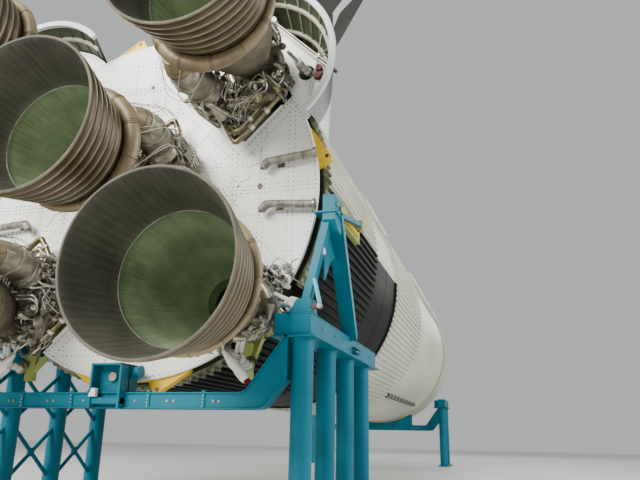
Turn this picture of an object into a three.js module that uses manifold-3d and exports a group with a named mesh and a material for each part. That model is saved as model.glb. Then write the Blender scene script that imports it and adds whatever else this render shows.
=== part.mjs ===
// First stage of a heavy launch rocket, lying on its display cradles: a 1:2 scale model.
//
// Every size below is the full-size stage's own, in metres. x is to the right seen from behind the
// engines, y is forward along the stage, z is up, and (0, 0, 0) is where the stage's centre line
// passes through the heat shield. The last step turns them into millimetres of the 1:2 model and
// puts the origin on the floor, under the middle of the stage.

import * as THREE from 'three';
import { mergeVertices } from 'three/addons/utils/BufferGeometryUtils.js';
import Module from 'manifold-3d';

const wasm = await Module();
wasm.setup();

// Scale and place
const MODEL_SCALE = 1 / 2;
const MM = 1000 * MODEL_SCALE; // model millimetres for one full-size metre
const AXIS_HEIGHT = 8.0; // centre line above the floor
const FIT = 0.0008; // left between faces that rest on each other

// Stage
const BODY_R = 5.03;
const SKIN_R = 4.98; // smooth tank walls, a little inside the stringers
const BODY_SIDES = 64;
const EXIT_Y = -5.1; // plane of the nozzle exits
const FRONT_Y = 36.97;
const SHIELD_R = 4.92;
const SHIELD_T = 0.1;
const RIM_Y = 0.32; // the stringered skin starts here, forward of the shield's edge
const RIM_R = 4.8;

// Engines
const GIMBAL_Y = 0.38;
const ENGINE_RING_R = 4.623;
const BELL_SIDES = 24;
const EXIT_R = 1.7; // inside, at the exit
const THROAT_R = 0.445;
const THROAT_S = 1.5; // distances S run aft from the gimbal point
const RING_S = 4.08; // the tube wall ends and the extension starts
const EXIT_S = GIMBAL_Y - EXIT_Y;
const WALL = 0.05;
const PUMP_REACH = 1.28; // pump axis from engine axis
const ANCHOR_OUT = 1.3; // actuator anchors from the engine's axis

// Cradle
const TRESTLE_X = 4.74;
const COLUMN_R = 0.25;
const CAP_HALF = 0.27;
const CAP_TOP = -3.43;
const CAP_BOTTOM = -3.95;
const FLOOR = -AXIS_HEIGHT;
const BEAM_TOP = -5.22;
const BEAM_BOTTOM = -5.6;

const WHITE = { color: 0xe9e8e0, roughness: 0.55, metalness: 0 };
const SKIN = { color: 0xc9ccc4, roughness: 0.5, metalness: 0 };
const BLACK = { color: 0x23241f, roughness: 0.35, metalness: 0 };
const OLIVE = { color: 0x8d9347, roughness: 0.6, metalness: 0 };
const YELLOW = { color: 0xf2b705, roughness: 0.5, metalness: 0 };
const TEAL = { color: 0x1f9fb2, roughness: 0.4, metalness: 0 };
const NOZZLE = { color: 0x77685a, roughness: 0.5, metalness: 0.6 };
const WRAP = { color: 0x8a7f6c, roughness: 0.7, metalness: 0.2 };
const MACHINE = { color: 0x98958a, roughness: 0.4, metalness: 0.7 };

const model = new THREE.Group();

// Closed solids

// One index for vertices at one place, and no triangle without an area.
function weld(geometry) {
  const bare = geometry.clone();
  for (const name of Object.keys(bare.attributes)) {
    if (name !== 'position') bare.deleteAttribute(name);
  }
  const merged = mergeVertices(bare, 1e-5);
  const index = [];
  for (let i = 0; i < merged.index.count; i += 3) {
    const [a, b, c] = [0, 1, 2].map((k) => merged.index.getX(i + k));
    if (a !== b && b !== c && c !== a) index.push(a, b, c);
  }
  return { points: merged.attributes.position.array, index };
}

function signedVolume({ points, index }) {
  const corner = (i) => new THREE.Vector3(points[3 * i], points[3 * i + 1], points[3 * i + 2]);
  let sum = 0;
  for (let i = 0; i < index.length; i += 3) {
    sum += corner(index[i]).dot(corner(index[i + 1]).cross(corner(index[i + 2])));
  }
  return sum / 6;
}

function solid(geometry) {
  const mesh = weld(geometry);
  if (signedVolume(mesh) < 0) mesh.index.reverse();
  const input = new wasm.Mesh({
    numProp: 3,
    vertProperties: new Float32Array(mesh.points),
    triVerts: new Uint32Array(mesh.index),
  });
  return new wasm.Manifold(input);
}

function join(...solids) {
  return solids.reduce((sum, next) => sum.add(next));
}

function cut(from, ...tools) {
  return tools.reduce((rest, tool) => rest.subtract(tool), from);
}

function add(name, body, finish) {
  const { vertProperties, triVerts } = body.getMesh();
  const geometry = new THREE.BufferGeometry();
  geometry.setAttribute('position', new THREE.BufferAttribute(new Float32Array(vertProperties), 3));
  geometry.setIndex(new THREE.BufferAttribute(new Uint32Array(triVerts), 1));
  geometry.scale(MM, MM, MM);
  geometry.computeVertexNormals();
  const mesh = new THREE.Mesh(geometry, new THREE.MeshStandardMaterial(finish));
  mesh.name = name;
  model.add(mesh);
}

// Shapes

function box(x0, x1, y0, y1, z0, z1) {
  const geometry = new THREE.BoxGeometry(x1 - x0, y1 - y0, z1 - z0);
  return solid(geometry.translate((x0 + x1) / 2, (y0 + y1) / 2, (z0 + z1) / 2));
}

// Round or square bar from a to b; sides = 4 gives a square one.
function bar(a, b, radius, sides = 8, endRadius = radius) {
  const from = new THREE.Vector3(...a);
  const to = new THREE.Vector3(...b);
  const geometry = new THREE.CylinderGeometry(endRadius, radius, from.distanceTo(to), sides);
  if (sides === 4) geometry.rotateY(Math.PI / 4);
  const up = new THREE.Vector3(0, 1, 0);
  const turn = new THREE.Quaternion().setFromUnitVectors(up, to.clone().sub(from).normalize());
  geometry.applyQuaternion(turn);
  const middle = from.add(to).multiplyScalar(0.5);
  return solid(geometry.translate(middle.x, middle.y, middle.z));
}

// Profile points are [radius, y], turned about the y axis through (x, z).
function turned(profile, sides, x = 0, z = 0) {
  const points = profile.map(([r, y]) => new THREE.Vector2(r, y));
  return solid(new THREE.LatheGeometry(points, sides).translate(x, 0, z));
}

function disc(radius, y0, y1, sides, x = 0, z = 0) {
  return turned([[0, y0], [radius, y0], [radius, y1], [0, y1]], sides, x, z);
}

// Outline points are [x, z], carried along y.
function prism(outline, y0, y1, hole = null) {
  const shape = new THREE.Shape(outline.map(([x, z]) => new THREE.Vector2(x, z)));
  if (hole) shape.holes.push(new THREE.Path(hole.map(([x, z]) => new THREE.Vector2(x, z))));
  const geometry = new THREE.ExtrudeGeometry(shape, { depth: y1 - y0, bevelEnabled: false, steps: 1 });
  return solid(geometry.rotateX(Math.PI / 2).translate(0, y1, 0));
}

function circleOutline(radius, sides) {
  return Array.from({ length: sides }, (_, i) => {
    const a = (2 * Math.PI * i) / sides;
    return [radius * Math.cos(a), radius * Math.sin(a)];
  });
}

// Skin with hat-shaped stringers: 'fill' is the share of the pitch that a stringer takes.
function stringerOutline(radius, height, count, fill) {
  const pitch = (2 * Math.PI) / count;
  const slope = 0.12 * pitch;
  const outline = [];
  for (let i = 0; i < count; i++) {
    const a = i * pitch;
    const end = fill * pitch;
    const hat = [[radius, 0], [radius + height, slope], [radius + height, end - slope], [radius, end]];
    for (const [r, da] of hat) outline.push([r * Math.cos(a + da), r * Math.sin(a + da)]);
  }
  return outline;
}

// Turns a solid about the stage's centre line; 0 degrees points to +x, 90 to +z.
function aboutAxis(body, degrees) {
  return body.rotate([0, -degrees, 0]);
}

// Bays of the four outer engines, seen from behind. 'pump' is the direction of the pump from the
// engine's own axis, and 'faired' bays carry a fairing and a fin.
const OUTER_BAYS = [
  { name: 'upper_right', angle: 45, pump: 227, faired: true },
  { name: 'upper_left', angle: 135, pump: 317, faired: true },
  { name: 'lower_left', angle: 225, pump: 45, faired: false },
  { name: 'lower_right', angle: 315, pump: 137, faired: false },
];
const radians = (degrees) => (degrees * Math.PI) / 180;
for (const bay of OUTER_BAYS) {
  bay.x = ENGINE_RING_R * Math.cos(radians(bay.angle));
  bay.z = ENGINE_RING_R * Math.sin(radians(bay.angle));
}
const CENTRE_BAY = { name: 'centre', angle: 45, pump: 32, x: 0, z: 0 };

// Body sections

const RIB = 0.07;
const RIBS = 72; // stringers round each stiffened section
const THRUST_END = 7.2;
const BAY_DEPTH = 1.0; // from the shield's face to the floor of an engine bay
const BAY_HALF = 1.25;
const SLOT_IN = 2.73; // the shield's slots: inner edge and half width
const SLOT_HALF = 1.07;
const CENTRE_HALF = 1.3;

function radialBox(r0, r1, half, y0, y1, angle) {
  return aboutAxis(box(r0, r1, y0, y1, -half, half), angle);
}

function thrustStructure() {
  const start = SHIELD_T + FIT;
  const skin = prism(stringerOutline(BODY_R, RIB, RIBS, 0.5), RIM_Y, THRUST_END - FIT);
  const rim = disc(RIM_R, start, RIM_Y + 0.1, BODY_SIDES);
  const bays = OUTER_BAYS.map((bay) => radialBox(3.0, 6.0, BAY_HALF, -1, BAY_DEPTH, bay.angle));
  const middle = radialBox(-CENTRE_HALF, CENTRE_HALF, CENTRE_HALF, -1, BAY_DEPTH, CENTRE_BAY.angle);
  return cut(join(skin, rim), middle, ...bays);
}
add('thrust_structure', thrustStructure(), BLACK);

function heatShield() {
  const plate = disc(SHIELD_R, 0, SHIELD_T, BODY_SIDES);
  const slots = OUTER_BAYS.map((bay) => radialBox(SLOT_IN, 6.0, SLOT_HALF, -1, 1, bay.angle));
  const middle = radialBox(-CENTRE_HALF, CENTRE_HALF, CENTRE_HALF, -1, 1, CENTRE_BAY.angle);
  return cut(plate, middle, ...slots);
}
add('heat_shield', heatShield(), WHITE);

const FUEL_END = 11.85;
const INTERTANK_END = 19.9;
const TANK_END = 33.5;
add('fuel_tank', disc(SKIN_R, THRUST_END, FUEL_END - FIT, BODY_SIDES), BLACK);
add('intertank', prism(stringerOutline(BODY_R, 0.08, RIBS, 0.5), FUEL_END, INTERTANK_END - FIT), SKIN);

const DOME_R = 4.66;
const DOME_RISE = 2.4;
function oxidizerTank() {
  const dome = [0, 0.25, 0.5, 0.75, 1].map((t) => {
    const a = (t * Math.PI) / 2;
    return [DOME_R * Math.cos(a), TANK_END - FIT + DOME_RISE * Math.sin(a)];
  });
  dome[4][0] = 0;
  return turned([[0, INTERTANK_END], [SKIN_R, INTERTANK_END], [SKIN_R, TANK_END - FIT], ...dome], BODY_SIDES);
}
add('oxidizer_tank', oxidizerTank(), SKIN);

const SKIRT_IN = 4.76;
add(
  'forward_skirt',
  prism(stringerOutline(BODY_R, 0.04, RIBS, 0.5), TANK_END, FRONT_Y, circleOutline(SKIRT_IN, 48)),
  WHITE,
);

// Covers along the tanks

// [name, angle, first y, last y, half width, height]
const TUNNELS = [
  ['tunnel_right', 28, INTERTANK_END + 0.1, TANK_END - 0.1, 0.3, 0.28],
  ['tunnel_left', 208, INTERTANK_END + 0.1, TANK_END - 0.1, 0.3, 0.28],
  ['fuel_tunnel_right', 28, THRUST_END + 0.1, FUEL_END - 0.1, 0.25, 0.22],
  ['fuel_tunnel_left', 208, THRUST_END + 0.1, FUEL_END - 0.1, 0.25, 0.22],
  ['lower_conduit', -52, INTERTANK_END + 0.3, TANK_END - 3, 0.14, 0.14],
];
for (const [name, angle, y0, y1, half, height] of TUNNELS) {
  const tank = disc(SKIN_R + FIT, y0 - 1, y1 + 1, BODY_SIDES);
  const [foot, top] = [SKIN_R - 0.1, SKIN_R + height];
  const outline = [
    [foot, -half], [top - half / 3, -half], [top, -half / 2],
    [top, half / 2], [top - half / 3, half], [foot, half],
  ];
  add(name, cut(aboutAxis(prism(outline, y0, y1), angle), tank), SKIN);
}

// Fairings and fins on the upper bays

const FAIRING_AFT = -1.0;
const FAIRING_FORE = 5.4;
const FAIRING_R = 2.3;
const FAIRING_SLOPE = 0.3;
const FAIRING_WALL = 0.1;
const FAIRING_HOLLOW = 2.6;
const fairingRadius = (y) => FAIRING_R - (y - FAIRING_AFT) * FAIRING_SLOPE;

function fairing(bay) {
  const y1 = FAIRING_HOLLOW;
  const shell = turned([
    [0, FAIRING_FORE], [fairingRadius(FAIRING_FORE), FAIRING_FORE], [FAIRING_R, FAIRING_AFT],
    [FAIRING_R - FAIRING_WALL, FAIRING_AFT], [fairingRadius(y1) - FAIRING_WALL, y1], [0, y1],
  ], 24, bay.x, bay.z);
  const ribTops = (BODY_R + RIB + FIT) / Math.cos(Math.PI / 96);
  return cut(shell, disc(ribTops, FAIRING_AFT - 1, THRUST_END + 1, 96));
}

const FIN_TIP = 9.6;
const FIN_HALF = 0.16;
function fin(bay) {
  const outer = (y) => ENGINE_RING_R + fairingRadius(y) + FIT;
  const plan = [[outer(-0.85), -0.85], [FIN_TIP, -0.85], [FIN_TIP, 0.1], [outer(1.9), 1.9]];
  const shape = new THREE.Shape(plan.map(([r, y]) => new THREE.Vector2(r, y)));
  const geometry = new THREE.ExtrudeGeometry(shape, { depth: 2 * FIN_HALF, bevelEnabled: false, steps: 1 });
  return aboutAxis(solid(geometry.translate(0, 0, -FIN_HALF)), bay.angle);
}

// White plate that closes the fairing beside the engine, with the beam along its outer edge.
const PLATE_OUT = 6.03;
function basePlate(bay) {
  const plate = box(3, PLATE_OUT, 0, SHIELD_T, -2.2, 2.2);
  const slot = join(box(2, ENGINE_RING_R, -1, 1, -0.78, 0.78), disc(0.78, -1, 1, 24, ENGINE_RING_R, 0));
  const beam = box(PLATE_OUT - 0.1, PLATE_OUT, -0.2, 0.01, -2.2, 2.2);
  const hub = bar([PLATE_OUT - 0.05, -0.34, 0.9], [PLATE_OUT - 0.05, -0.1, 0.9], 0.12, 10);
  const blank = cut(plate, slot, disc(SHIELD_R + 2 * FIT, -1, 1, BODY_SIDES));
  const inside = (y) => fairingRadius(y) - FAIRING_WALL - FIT;
  const room = turned([[0, 1], [inside(1), 1], [inside(-1), -1], [0, -1]], 24, bay.x, bay.z);
  const notches = [[Math.sign(bay.x), 0], [0, Math.sign(bay.z)]].map(([dx, dz]) => {
    const reach = ANCHOR_OUT - 0.05;
    return disc(0.23, -1, 1, 16, bay.x + reach * dx, bay.z + reach * dz);
  });
  return cut(aboutAxis(join(blank, beam, hub), bay.angle).intersect(room), ...notches);
}

for (const bay of OUTER_BAYS.filter((b) => b.faired)) {
  add(`fairing_${bay.name}`, fairing(bay), SKIN);
  add(`fin_${bay.name}`, fin(bay), SKIN);
  add(`base_plate_${bay.name}`, basePlate(bay), WHITE);
}

// Brackets and fittings round the shield

// A horn of a bracket: it widens from HORN_END degrees of the rim down to HORN_START.
const HORN_START = 6;
const HORN_END = 19.5;
const BRACKET_IN = RIM_R + FIT + 0.02;
function horn() {
  const inner = [0, 0.25, 0.5, 0.75, 1].map((t) => {
    const a = radians(HORN_START + t * (HORN_END - HORN_START));
    return [BRACKET_IN * Math.cos(a), BRACKET_IN * Math.sin(a)];
  });
  const outline = [...inner, [4.64, 1.66], [5.21, 0.78], [5.21, 0.7], [4.88, 0.52]];
  return prism(outline, SHIELD_T + FIT, RIM_Y - 2 * FIT);
}

// Horns on one or both sides of the middle, two of them on a low strip that follows the rim.
function rimBracket(angle, sides) {
  const horns = sides.map((side) => (side > 0 ? horn() : horn().mirror([0, 0, 1])));
  const a = radians(HORN_START + 1);
  const arc = (r) => [-1, -0.5, 0, 0.5, 1].map((t) => [r * Math.cos(t * a), r * Math.sin(t * a)]);
  const strip = prism([...arc(BRACKET_IN), ...arc(SHIELD_R).reverse()], SHIELD_T + FIT, RIM_Y - 2 * FIT);
  return aboutAxis(horns.length > 1 ? join(...horns, strip) : horns[0], angle);
}
const BRACKETS = [['right', 0, [1]], ['top', 90, [1, -1]], ['left', 180, [-1]], ['bottom', 270, [1, -1]]];
for (const [name, angle, sides] of BRACKETS) {
  add(`rim_bracket_${name}`, rimBracket(angle, sides), YELLOW);
}

const SIDES = [['right', 1], ['left', -1]];
const mirror = (body, side) => (side > 0 ? body : body.mirror([1, 0, 0]));

const RIB_TOP = BODY_R + RIB + FIT;
function sideFitting() {
  const pad = box(RIB_TOP - 0.1, RIB_TOP + 0.12, 1.3, 3.5, -0.62, -0.06);
  const lug = box(RIB_TOP + 0.1, RIB_TOP + 0.34, 2.85, 3.2, -0.34, -0.08);
  const sides = 3 * BODY_SIDES;
  return cut(join(pad, lug), disc(RIB_TOP / Math.cos(Math.PI / sides), 1, 4.2, sides));
}

// Drain pipe from the rim (at height z1) to its bend (at z0), with its open end turned down.
function drainPipe(z0, z1) {
  const y = -0.26;
  const bend = [3.66, y, z0];
  const run = bar(bend, [4.93, y, z1], 0.1, 8);
  const corner = new THREE.SphereGeometry(0.115, 8, 4).translate(...bend);
  const end = bar(bend, [3.5, y, z0 - 0.16], 0.1, 8);
  const stay = box(3.85, 3.95, -0.2, -FIT, z0 - 0.03, z0 + 0.05);
  return join(run, solid(corner), end, stay);
}
for (const [name, side] of SIDES) {
  add(`side_fitting_${name}`, mirror(sideFitting(), side), OLIVE);
  add(`drain_pipe_upper_${name}`, mirror(drainPipe(0.64, 0.76), side), WRAP);
  add(`drain_pipe_lower_${name}`, mirror(drainPipe(-0.54, -0.64), side), WRAP);
}

// Engines

const FIX_Y = BAY_DEPTH - FIT; // mounts stand on the bay's floor
const LUG_IN = 0.24;
const LUG_OUT = 0.36;
const PIN_R = 0.06;

// Fixed half of the gimbal: a pad with two ears along x.
function mountPad(x, z) {
  const pad = bar([x, 0.72, z], [x, FIX_Y, z], 0.42, 12);
  const ears = [1, -1].map((s) => {
    const [x0, x1] = [s * LUG_IN, s * LUG_OUT].sort((a, b) => a - b);
    return box(x + x0, x + x1, GIMBAL_Y - 0.12, 0.73, z - 0.14, z + 0.14);
  });
  return join(pad, ...ears);
}

const EYE_OUT = 1.02;
const EYE_S = 1.7;
// An actuator: cylinder at its anchor, polished rod towards the engine's outrigger.
function actuator(x, z, dx, dz) {
  const anchor = [x + ANCHOR_OUT * dx, 0.0, z + ANCHOR_OUT * dz];
  const eye = [x + EYE_OUT * dx, GIMBAL_Y - EYE_S, z + EYE_OUT * dz];
  const at = (t) => anchor.map((v, i) => v + (eye[i] - v) * t);
  const cylinder = bar(at(0), at(0.45), 0.1, 8);
  const rod = bar(at(0.4), at(0.8), 0.05, 6);
  return join(cylinder, rod);
}

function outerMount(bay) {
  const sx = Math.sign(bay.x);
  const sz = Math.sign(bay.z);
  const arms = [[sx, 0], [0, sz]].map(([dx, dz]) => {
    const anchor = [bay.x + ANCHOR_OUT * dx, 0.03, bay.z + ANCHOR_OUT * dz];
    const root = [bay.x + 0.3 * dx, 0.9, bay.z + 0.3 * dz];
    return join(bar(root, anchor, 0.11, 4), actuator(bay.x, bay.z, dx, dz));
  });
  return join(mountPad(bay.x, bay.z), ...arms);
}
for (const bay of OUTER_BAYS) add(`engine_mount_${bay.name}`, outerMount(bay), OLIVE);

// The centre engine doesn't swing: a block and four stays hold it.
function centreMount() {
  const top = bar([0, GIMBAL_Y - 0.28 + FIT, 0], [0, FIX_Y, 0], 0.4, 16);
  const feet = [45, 135, 225, 315].map((angle) => {
    const c = Math.cos(radians(angle));
    const s = Math.sin(radians(angle));
    return bar([0.35 * c, 0.5, 0.35 * s], [1.05 * c, FIX_Y - 0.08, 1.05 * s], 0.07, 4);
  });
  return join(top, ...feet);
}
add('engine_mount_centre', centreMount(), OLIVE);

// Cross of the gimbal: pins along x in the mount, pins along z in the engine.
function gimbalCross(bay) {
  const { x, z } = bay;
  const reach = LUG_IN - FIT;
  const block = box(x - 0.16, x + 0.16, GIMBAL_Y - 0.12, GIMBAL_Y + 0.12, z - 0.16, z + 0.16);
  const across = bar([x - reach, GIMBAL_Y, z], [x + reach, GIMBAL_Y, z], PIN_R, 8);
  const upright = bar([x, GIMBAL_Y, z - reach], [x, GIMBAL_Y, z + reach], PIN_R, 8);
  return join(block, across, upright);
}

// Inside radius of the bell at distance s aft of the gimbal point.
function bellRadius(s) {
  const t = (s - THROAT_S) / (EXIT_S - THROAT_S);
  return THROAT_R + (EXIT_R - THROAT_R) * t ** 0.66;
}

const RIDGES = 5;
const RIDGE_START = 3.8; // the rolled ridges run from the manifold to the exit
const MANIFOLD_S = 3.54;
const MANIFOLD_T = 0.125; // radius of the ring's section, and how much it grows towards the pump
const MANIFOLD_SWELL = 0.065;
const outerBell = (s) => bellRadius(s) + WALL + 0.01;
const RIDGE_PITCH = (EXIT_S - 0.08 - RIDGE_START) / RIDGES;
const FIRST_RIDGE_S = RIDGE_START + 0.5 * RIDGE_PITCH;
const RIDGE_RISE = 0.045;
const ridgeBell = (s) => (s < FIRST_RIDGE_S ? outerBell(s) : bellRadius(s) + WALL + RIDGE_RISE);

function chamber(bay, swings) {
  const dome = [[0, 0.28], [0.55, 0.28], [0.66, 0.36], [0.66, 0.62]];
  const profile = [...dome, [0.56, 0.7], [0.58, 1.2], [0.51, THROAT_S]];
  for (const s of [1.95, 2.75, MANIFOLD_S]) profile.push([outerBell(s), s]);
  for (let i = 0; i < RIDGES; i++) {
    const s = FIRST_RIDGE_S + i * RIDGE_PITCH;
    const valley = s + RIDGE_PITCH / 2;
    profile.push([ridgeBell(s), s], [bellRadius(valley) + WALL - 0.01, valley]);
  }
  profile.push([EXIT_R + 0.09, EXIT_S - 0.05], [EXIT_R + 0.07, EXIT_S], [EXIT_R, EXIT_S]);
  for (const s of [RING_S, 2.8, 2.0, THROAT_S]) profile.push([bellRadius(s), s]);
  profile.push([0.51, 1.05], [0.5, 0.7], [0, 0.7]);
  const points = profile.map(([r, s]) => [r, GIMBAL_Y - s]);
  const parts = [turned(points, BELL_SIDES, bay.x, bay.z)];
  if (swings) {
    for (const side of [1, -1]) {
      const [z0, z1] = [side * LUG_IN, side * LUG_OUT].sort((a, b) => a - b);
      parts.push(box(bay.x - 0.14, bay.x + 0.14, GIMBAL_Y - 0.3, GIMBAL_Y + 0.12, bay.z + z0, bay.z + z1));
    }
    const sx = Math.sign(bay.x);
    const sz = Math.sign(bay.z);
    for (const [dx, dz] of [[sx, 0], [0, sz]]) {
      const y = GIMBAL_Y - EYE_S;
      const tip = [bay.x + EYE_OUT * dx, y, bay.z + EYE_OUT * dz];
      parts.push(bar([bay.x + 0.52 * dx, y + 0.15, bay.z + 0.52 * dz], tip, 0.1, 6, 0.06));
    }
  }
  return join(...parts);
}

const PUMP_END = 1.62; // the turbine's outlet
const engineDirection = (bay) => [Math.cos(radians(bay.pump)), Math.sin(radians(bay.pump))];
const along = (bay, reach, s) => {
  const [c, d] = engineDirection(bay);
  return [bay.x + reach * c, GIMBAL_Y - s, bay.z + reach * d];
};

// Turbopump: inlet, two volutes and the turbine on one shaft, two ducts to the injector dome, and
// the valve castings beside the chamber.
function turbopump(bay) {
  const [x, , z] = along(bay, PUMP_REACH, 0);
  const stack = [
    [0, 0.72], [0.2, 0.72], [0.2, 0.84], [0.4, 0.92], [0.4, 1.08], [0.26, 1.14],
    [0.26, 1.2], [0.43, 1.28], [0.43, 1.46], [0.27, 1.54], [0.27, PUMP_END], [0, PUMP_END],
  ].map(([r, s]) => [r, GIMBAL_Y - s]);
  const [c, d] = engineDirection(bay);
  const ducts = [1, -1].map((side) => {
    const [ox, oz] = [-d * side * 0.3, c * side * 0.3];
    const far = along(bay, PUMP_REACH, 1.0);
    const near = along(bay, 0.66, 0.85);
    return bar([far[0] + ox, far[1], far[2] + oz], [near[0] + ox, near[1], near[2] + oz], 0.1, 6);
  });
  const beside = (reach, across, s) => {
    const [px, y, pz] = along(bay, reach, s);
    return [px - d * across, y, pz + c * across];
  };
  const valves = bar(beside(0.78, 0.72, 0.86), beside(0.3, 1.02, 1.3), 0.24, 8, 0.2);
  const link = bar(beside(1.1, 0.2, 1.0), beside(0.74, 0.72, 0.95), 0.13, 6);
  return join(turned(stack, 12, x, z), ...ducts, valves, link);
}

// Ring round the bell, thick at the pump's side and thin across from it, lying on the bell's wall.
function manifold(bay) {
  const sections = 20;
  const corners = 7;
  const points = [];
  const index = [];
  for (let i = 0; i < sections; i++) {
    const a = (2 * Math.PI * i) / sections;
    const thick = MANIFOLD_T + MANIFOLD_SWELL * Math.cos(a);
    const middle = outerBell(MANIFOLD_S) + thick - 0.02;
    for (let j = 0; j < corners; j++) {
      const b = (2 * Math.PI * (j + 0.5)) / corners;
      const reach = middle + thick * Math.cos(b);
      const t = radians(bay.pump) + a;
      const y = GIMBAL_Y - MANIFOLD_S + thick * Math.sin(b);
      points.push(bay.x + reach * Math.cos(t), y, bay.z + reach * Math.sin(t));
      const [k, l] = [(i + 1) % sections, (j + 1) % corners];
      const quad = [i * corners + j, i * corners + l, k * corners + l, k * corners + j];
      index.push(quad[0], quad[1], quad[2], quad[0], quad[2], quad[3]);
    }
  }
  const geometry = new THREE.BufferGeometry();
  geometry.setAttribute('position', new THREE.Float32BufferAttribute(points, 3));
  geometry.setIndex(index);
  return solid(geometry);
}

// Turbine exhaust: heat exchanger duct down to the ring that wraps the bell, clear of its wall.
function exhaust(bay) {
  const stations = [1.95, 2.75, MANIFOLD_S, FIRST_RIDGE_S];
  const wall = stations.map((s) => [ridgeBell(s) + FIT, GIMBAL_Y - s]);
  const bell = turned([[0, wall[0][1]], ...wall, [0, wall[3][1]]], BELL_SIDES, bay.x, bay.z);
  const exchanger = bar(along(bay, 1.36, PUMP_END), along(bay, 1.57, 2.8), 0.4, 12, 0.4);
  const duct = bar(along(bay, 1.57, 2.75), along(bay, 1.5, 3.54), 0.33, 12, 0.2);
  const trimTop = disc(9, GIMBAL_Y - PUMP_END - FIT, 3, 8);
  return cut(join(manifold(bay), cut(exchanger, trimTop), duct), bell);
}

for (const bay of [CENTRE_BAY, ...OUTER_BAYS]) {
  const swings = bay !== CENTRE_BAY;
  if (swings) add(`gimbal_cross_${bay.name}`, gimbalCross(bay), MACHINE);
  add(`thrust_chamber_${bay.name}`, chamber(bay, swings), NOZZLE);
  add(`exhaust_duct_${bay.name}`, exhaust(bay), WRAP);
  add(`turbopump_${bay.name}`, turbopump(bay), MACHINE);
}

// Cradles

const AFT_COLUMNS = [-0.4, 1.65, 3.75, 5.9];
const AFT_CAP = [-0.68, 7.0];
const FORE_COLUMNS = [33.6, 35.7];
const FORE_CAP = [33.2, 36.1];
const AFT_KNEE = { x: 4.12, y0: -0.68, y1: 0.1 };
const FORE_KNEE = { x: 4.12, y0: 34.4, y1: 34.9 };

// Box beam with a foot flange on round columns; 'bracing' adds diagonals between the columns, and
// 'knee' is the box beside the cap that the cross beam comes up to.
function trestle(columns, [y0, y1], bracing, knee) {
  const [x0, x1] = [TRESTLE_X - CAP_HALF, TRESTLE_X + CAP_HALF];
  const flange = [CAP_BOTTOM - 0.04, CAP_BOTTOM + 0.01];
  const parts = [
    box(x0, x1, y0, y1, CAP_BOTTOM, CAP_TOP),
    box(x0 - 0.1, x1 + 0.1, y0 - 0.05, y1 + 0.05, ...flange),
    box(knee.x, x0 + 0.1, knee.y0, knee.y1, CAP_BOTTOM, CAP_TOP),
    box(knee.x - 0.06, x0 + 0.1, knee.y0 - 0.05, knee.y1 + 0.05, ...flange),
  ];
  for (const y of columns) {
    parts.push(bar([TRESTLE_X, y, FLOOR + 0.02], [TRESTLE_X, y, CAP_BOTTOM], COLUMN_R, 12));
    parts.push(box(TRESTLE_X - 0.4, TRESTLE_X + 0.4, y - 0.4, y + 0.4, FLOOR, FLOOR + 0.05));
  }
  if (bracing) {
    for (let i = 0; i + 1 < columns.length; i++) {
      for (const [za, zb] of [[-7.6, -5.9], [-5.9, -4.3]]) {
        parts.push(bar([TRESTLE_X, columns[i], za], [TRESTLE_X, columns[i + 1], zb], 0.07, 4));
        parts.push(bar([TRESTLE_X, columns[i], zb], [TRESTLE_X, columns[i + 1], za], 0.07, 4));
      }
    }
  }
  return join(...parts);
}

// Two legs on the cap and a head beside the stage, tied to the side fitting.
function aFrame() {
  const seat = CAP_TOP + FIT;
  const head = box(5.2, 5.52, -0.6, 0.09, -1.4, -0.55);
  const near = bar([4.78, -0.45, CAP_TOP - 0.2], [5.32, -0.4, -1.2], 0.23, 4);
  const far = bar([4.98, 3.4, CAP_TOP - 0.2], [5.38, -0.1, -1.0], 0.22, 4);
  const tie = bar([5.4, 0, -0.85], [5.36, 2.82, -0.21], 0.09, 4);
  const nearFoot = box(4.45, 5.0, -0.66, -0.15, seat, seat + 0.06);
  const farFoot = box(4.56, 4.98, 3.1, 3.75, seat, seat + 0.06);
  const below = box(3, 6, -2, 6, CAP_TOP - 1, seat);
  return cut(join(head, near, far, tie, nearFoot, farFoot), below);
}

// Cross beam under the stage, bent up at both ends to the caps.
function crossBeam(y0, y1) {
  const top = CAP_BOTTOM - 0.04 - FIT;
  const half = [
    [0, BEAM_BOTTOM], [3.8, BEAM_BOTTOM], [3.98, -5.53], [4.46, -4.95], [4.46, top],
    [4.4, top], [3.5, BEAM_TOP + 0.05], [3.38, BEAM_TOP], [0, BEAM_TOP],
  ];
  const outline = [...half, ...half.slice(1, -1).reverse().map(([x, z]) => [-x, z])];
  return prism(outline, y0, y1);
}

function aftCrossBeam() {
  const post = box(-0.42, 0.42, -0.95, -0.2, BEAM_BOTTOM, -4.55);
  const shelf = box(-0.42, 0.42, -0.21, SHIELD_T, -5.5, -5.35 - FIT);
  return join(crossBeam(-0.75, -0.35), post, shelf);
}

// Saddle under the forward skirt.
function foreCrossBeam() {
  const ring = (BODY_R + 0.04 + FIT) / Math.cos(Math.PI / 120);
  const pad = box(-2.4, 2.4, 34.4, 34.9, BEAM_BOTTOM, -4.4);
  return join(crossBeam(34.4, 34.9), cut(pad, disc(ring, 33, 37, 120)));
}

for (const [name, side] of SIDES) {
  add(`aft_trestle_${name}`, mirror(trestle(AFT_COLUMNS, AFT_CAP, side < 0, AFT_KNEE), side), TEAL);
  add(`aft_a_frame_${name}`, mirror(aFrame(), side), TEAL);
  add(`forward_trestle_${name}`, mirror(trestle(FORE_COLUMNS, FORE_CAP, false, FORE_KNEE), side), TEAL);
}
add('aft_cross_beam', aftCrossBeam(), TEAL);
add('forward_cross_beam', foreCrossBeam(), TEAL);

// On the floor, with the middle of the stage's length at y = 0.
model.position.set(0, (-(EXIT_Y + FRONT_Y) / 2) * MM, AXIS_HEIGHT * MM);
model.updateMatrixWorld(true);

export default model;
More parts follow.
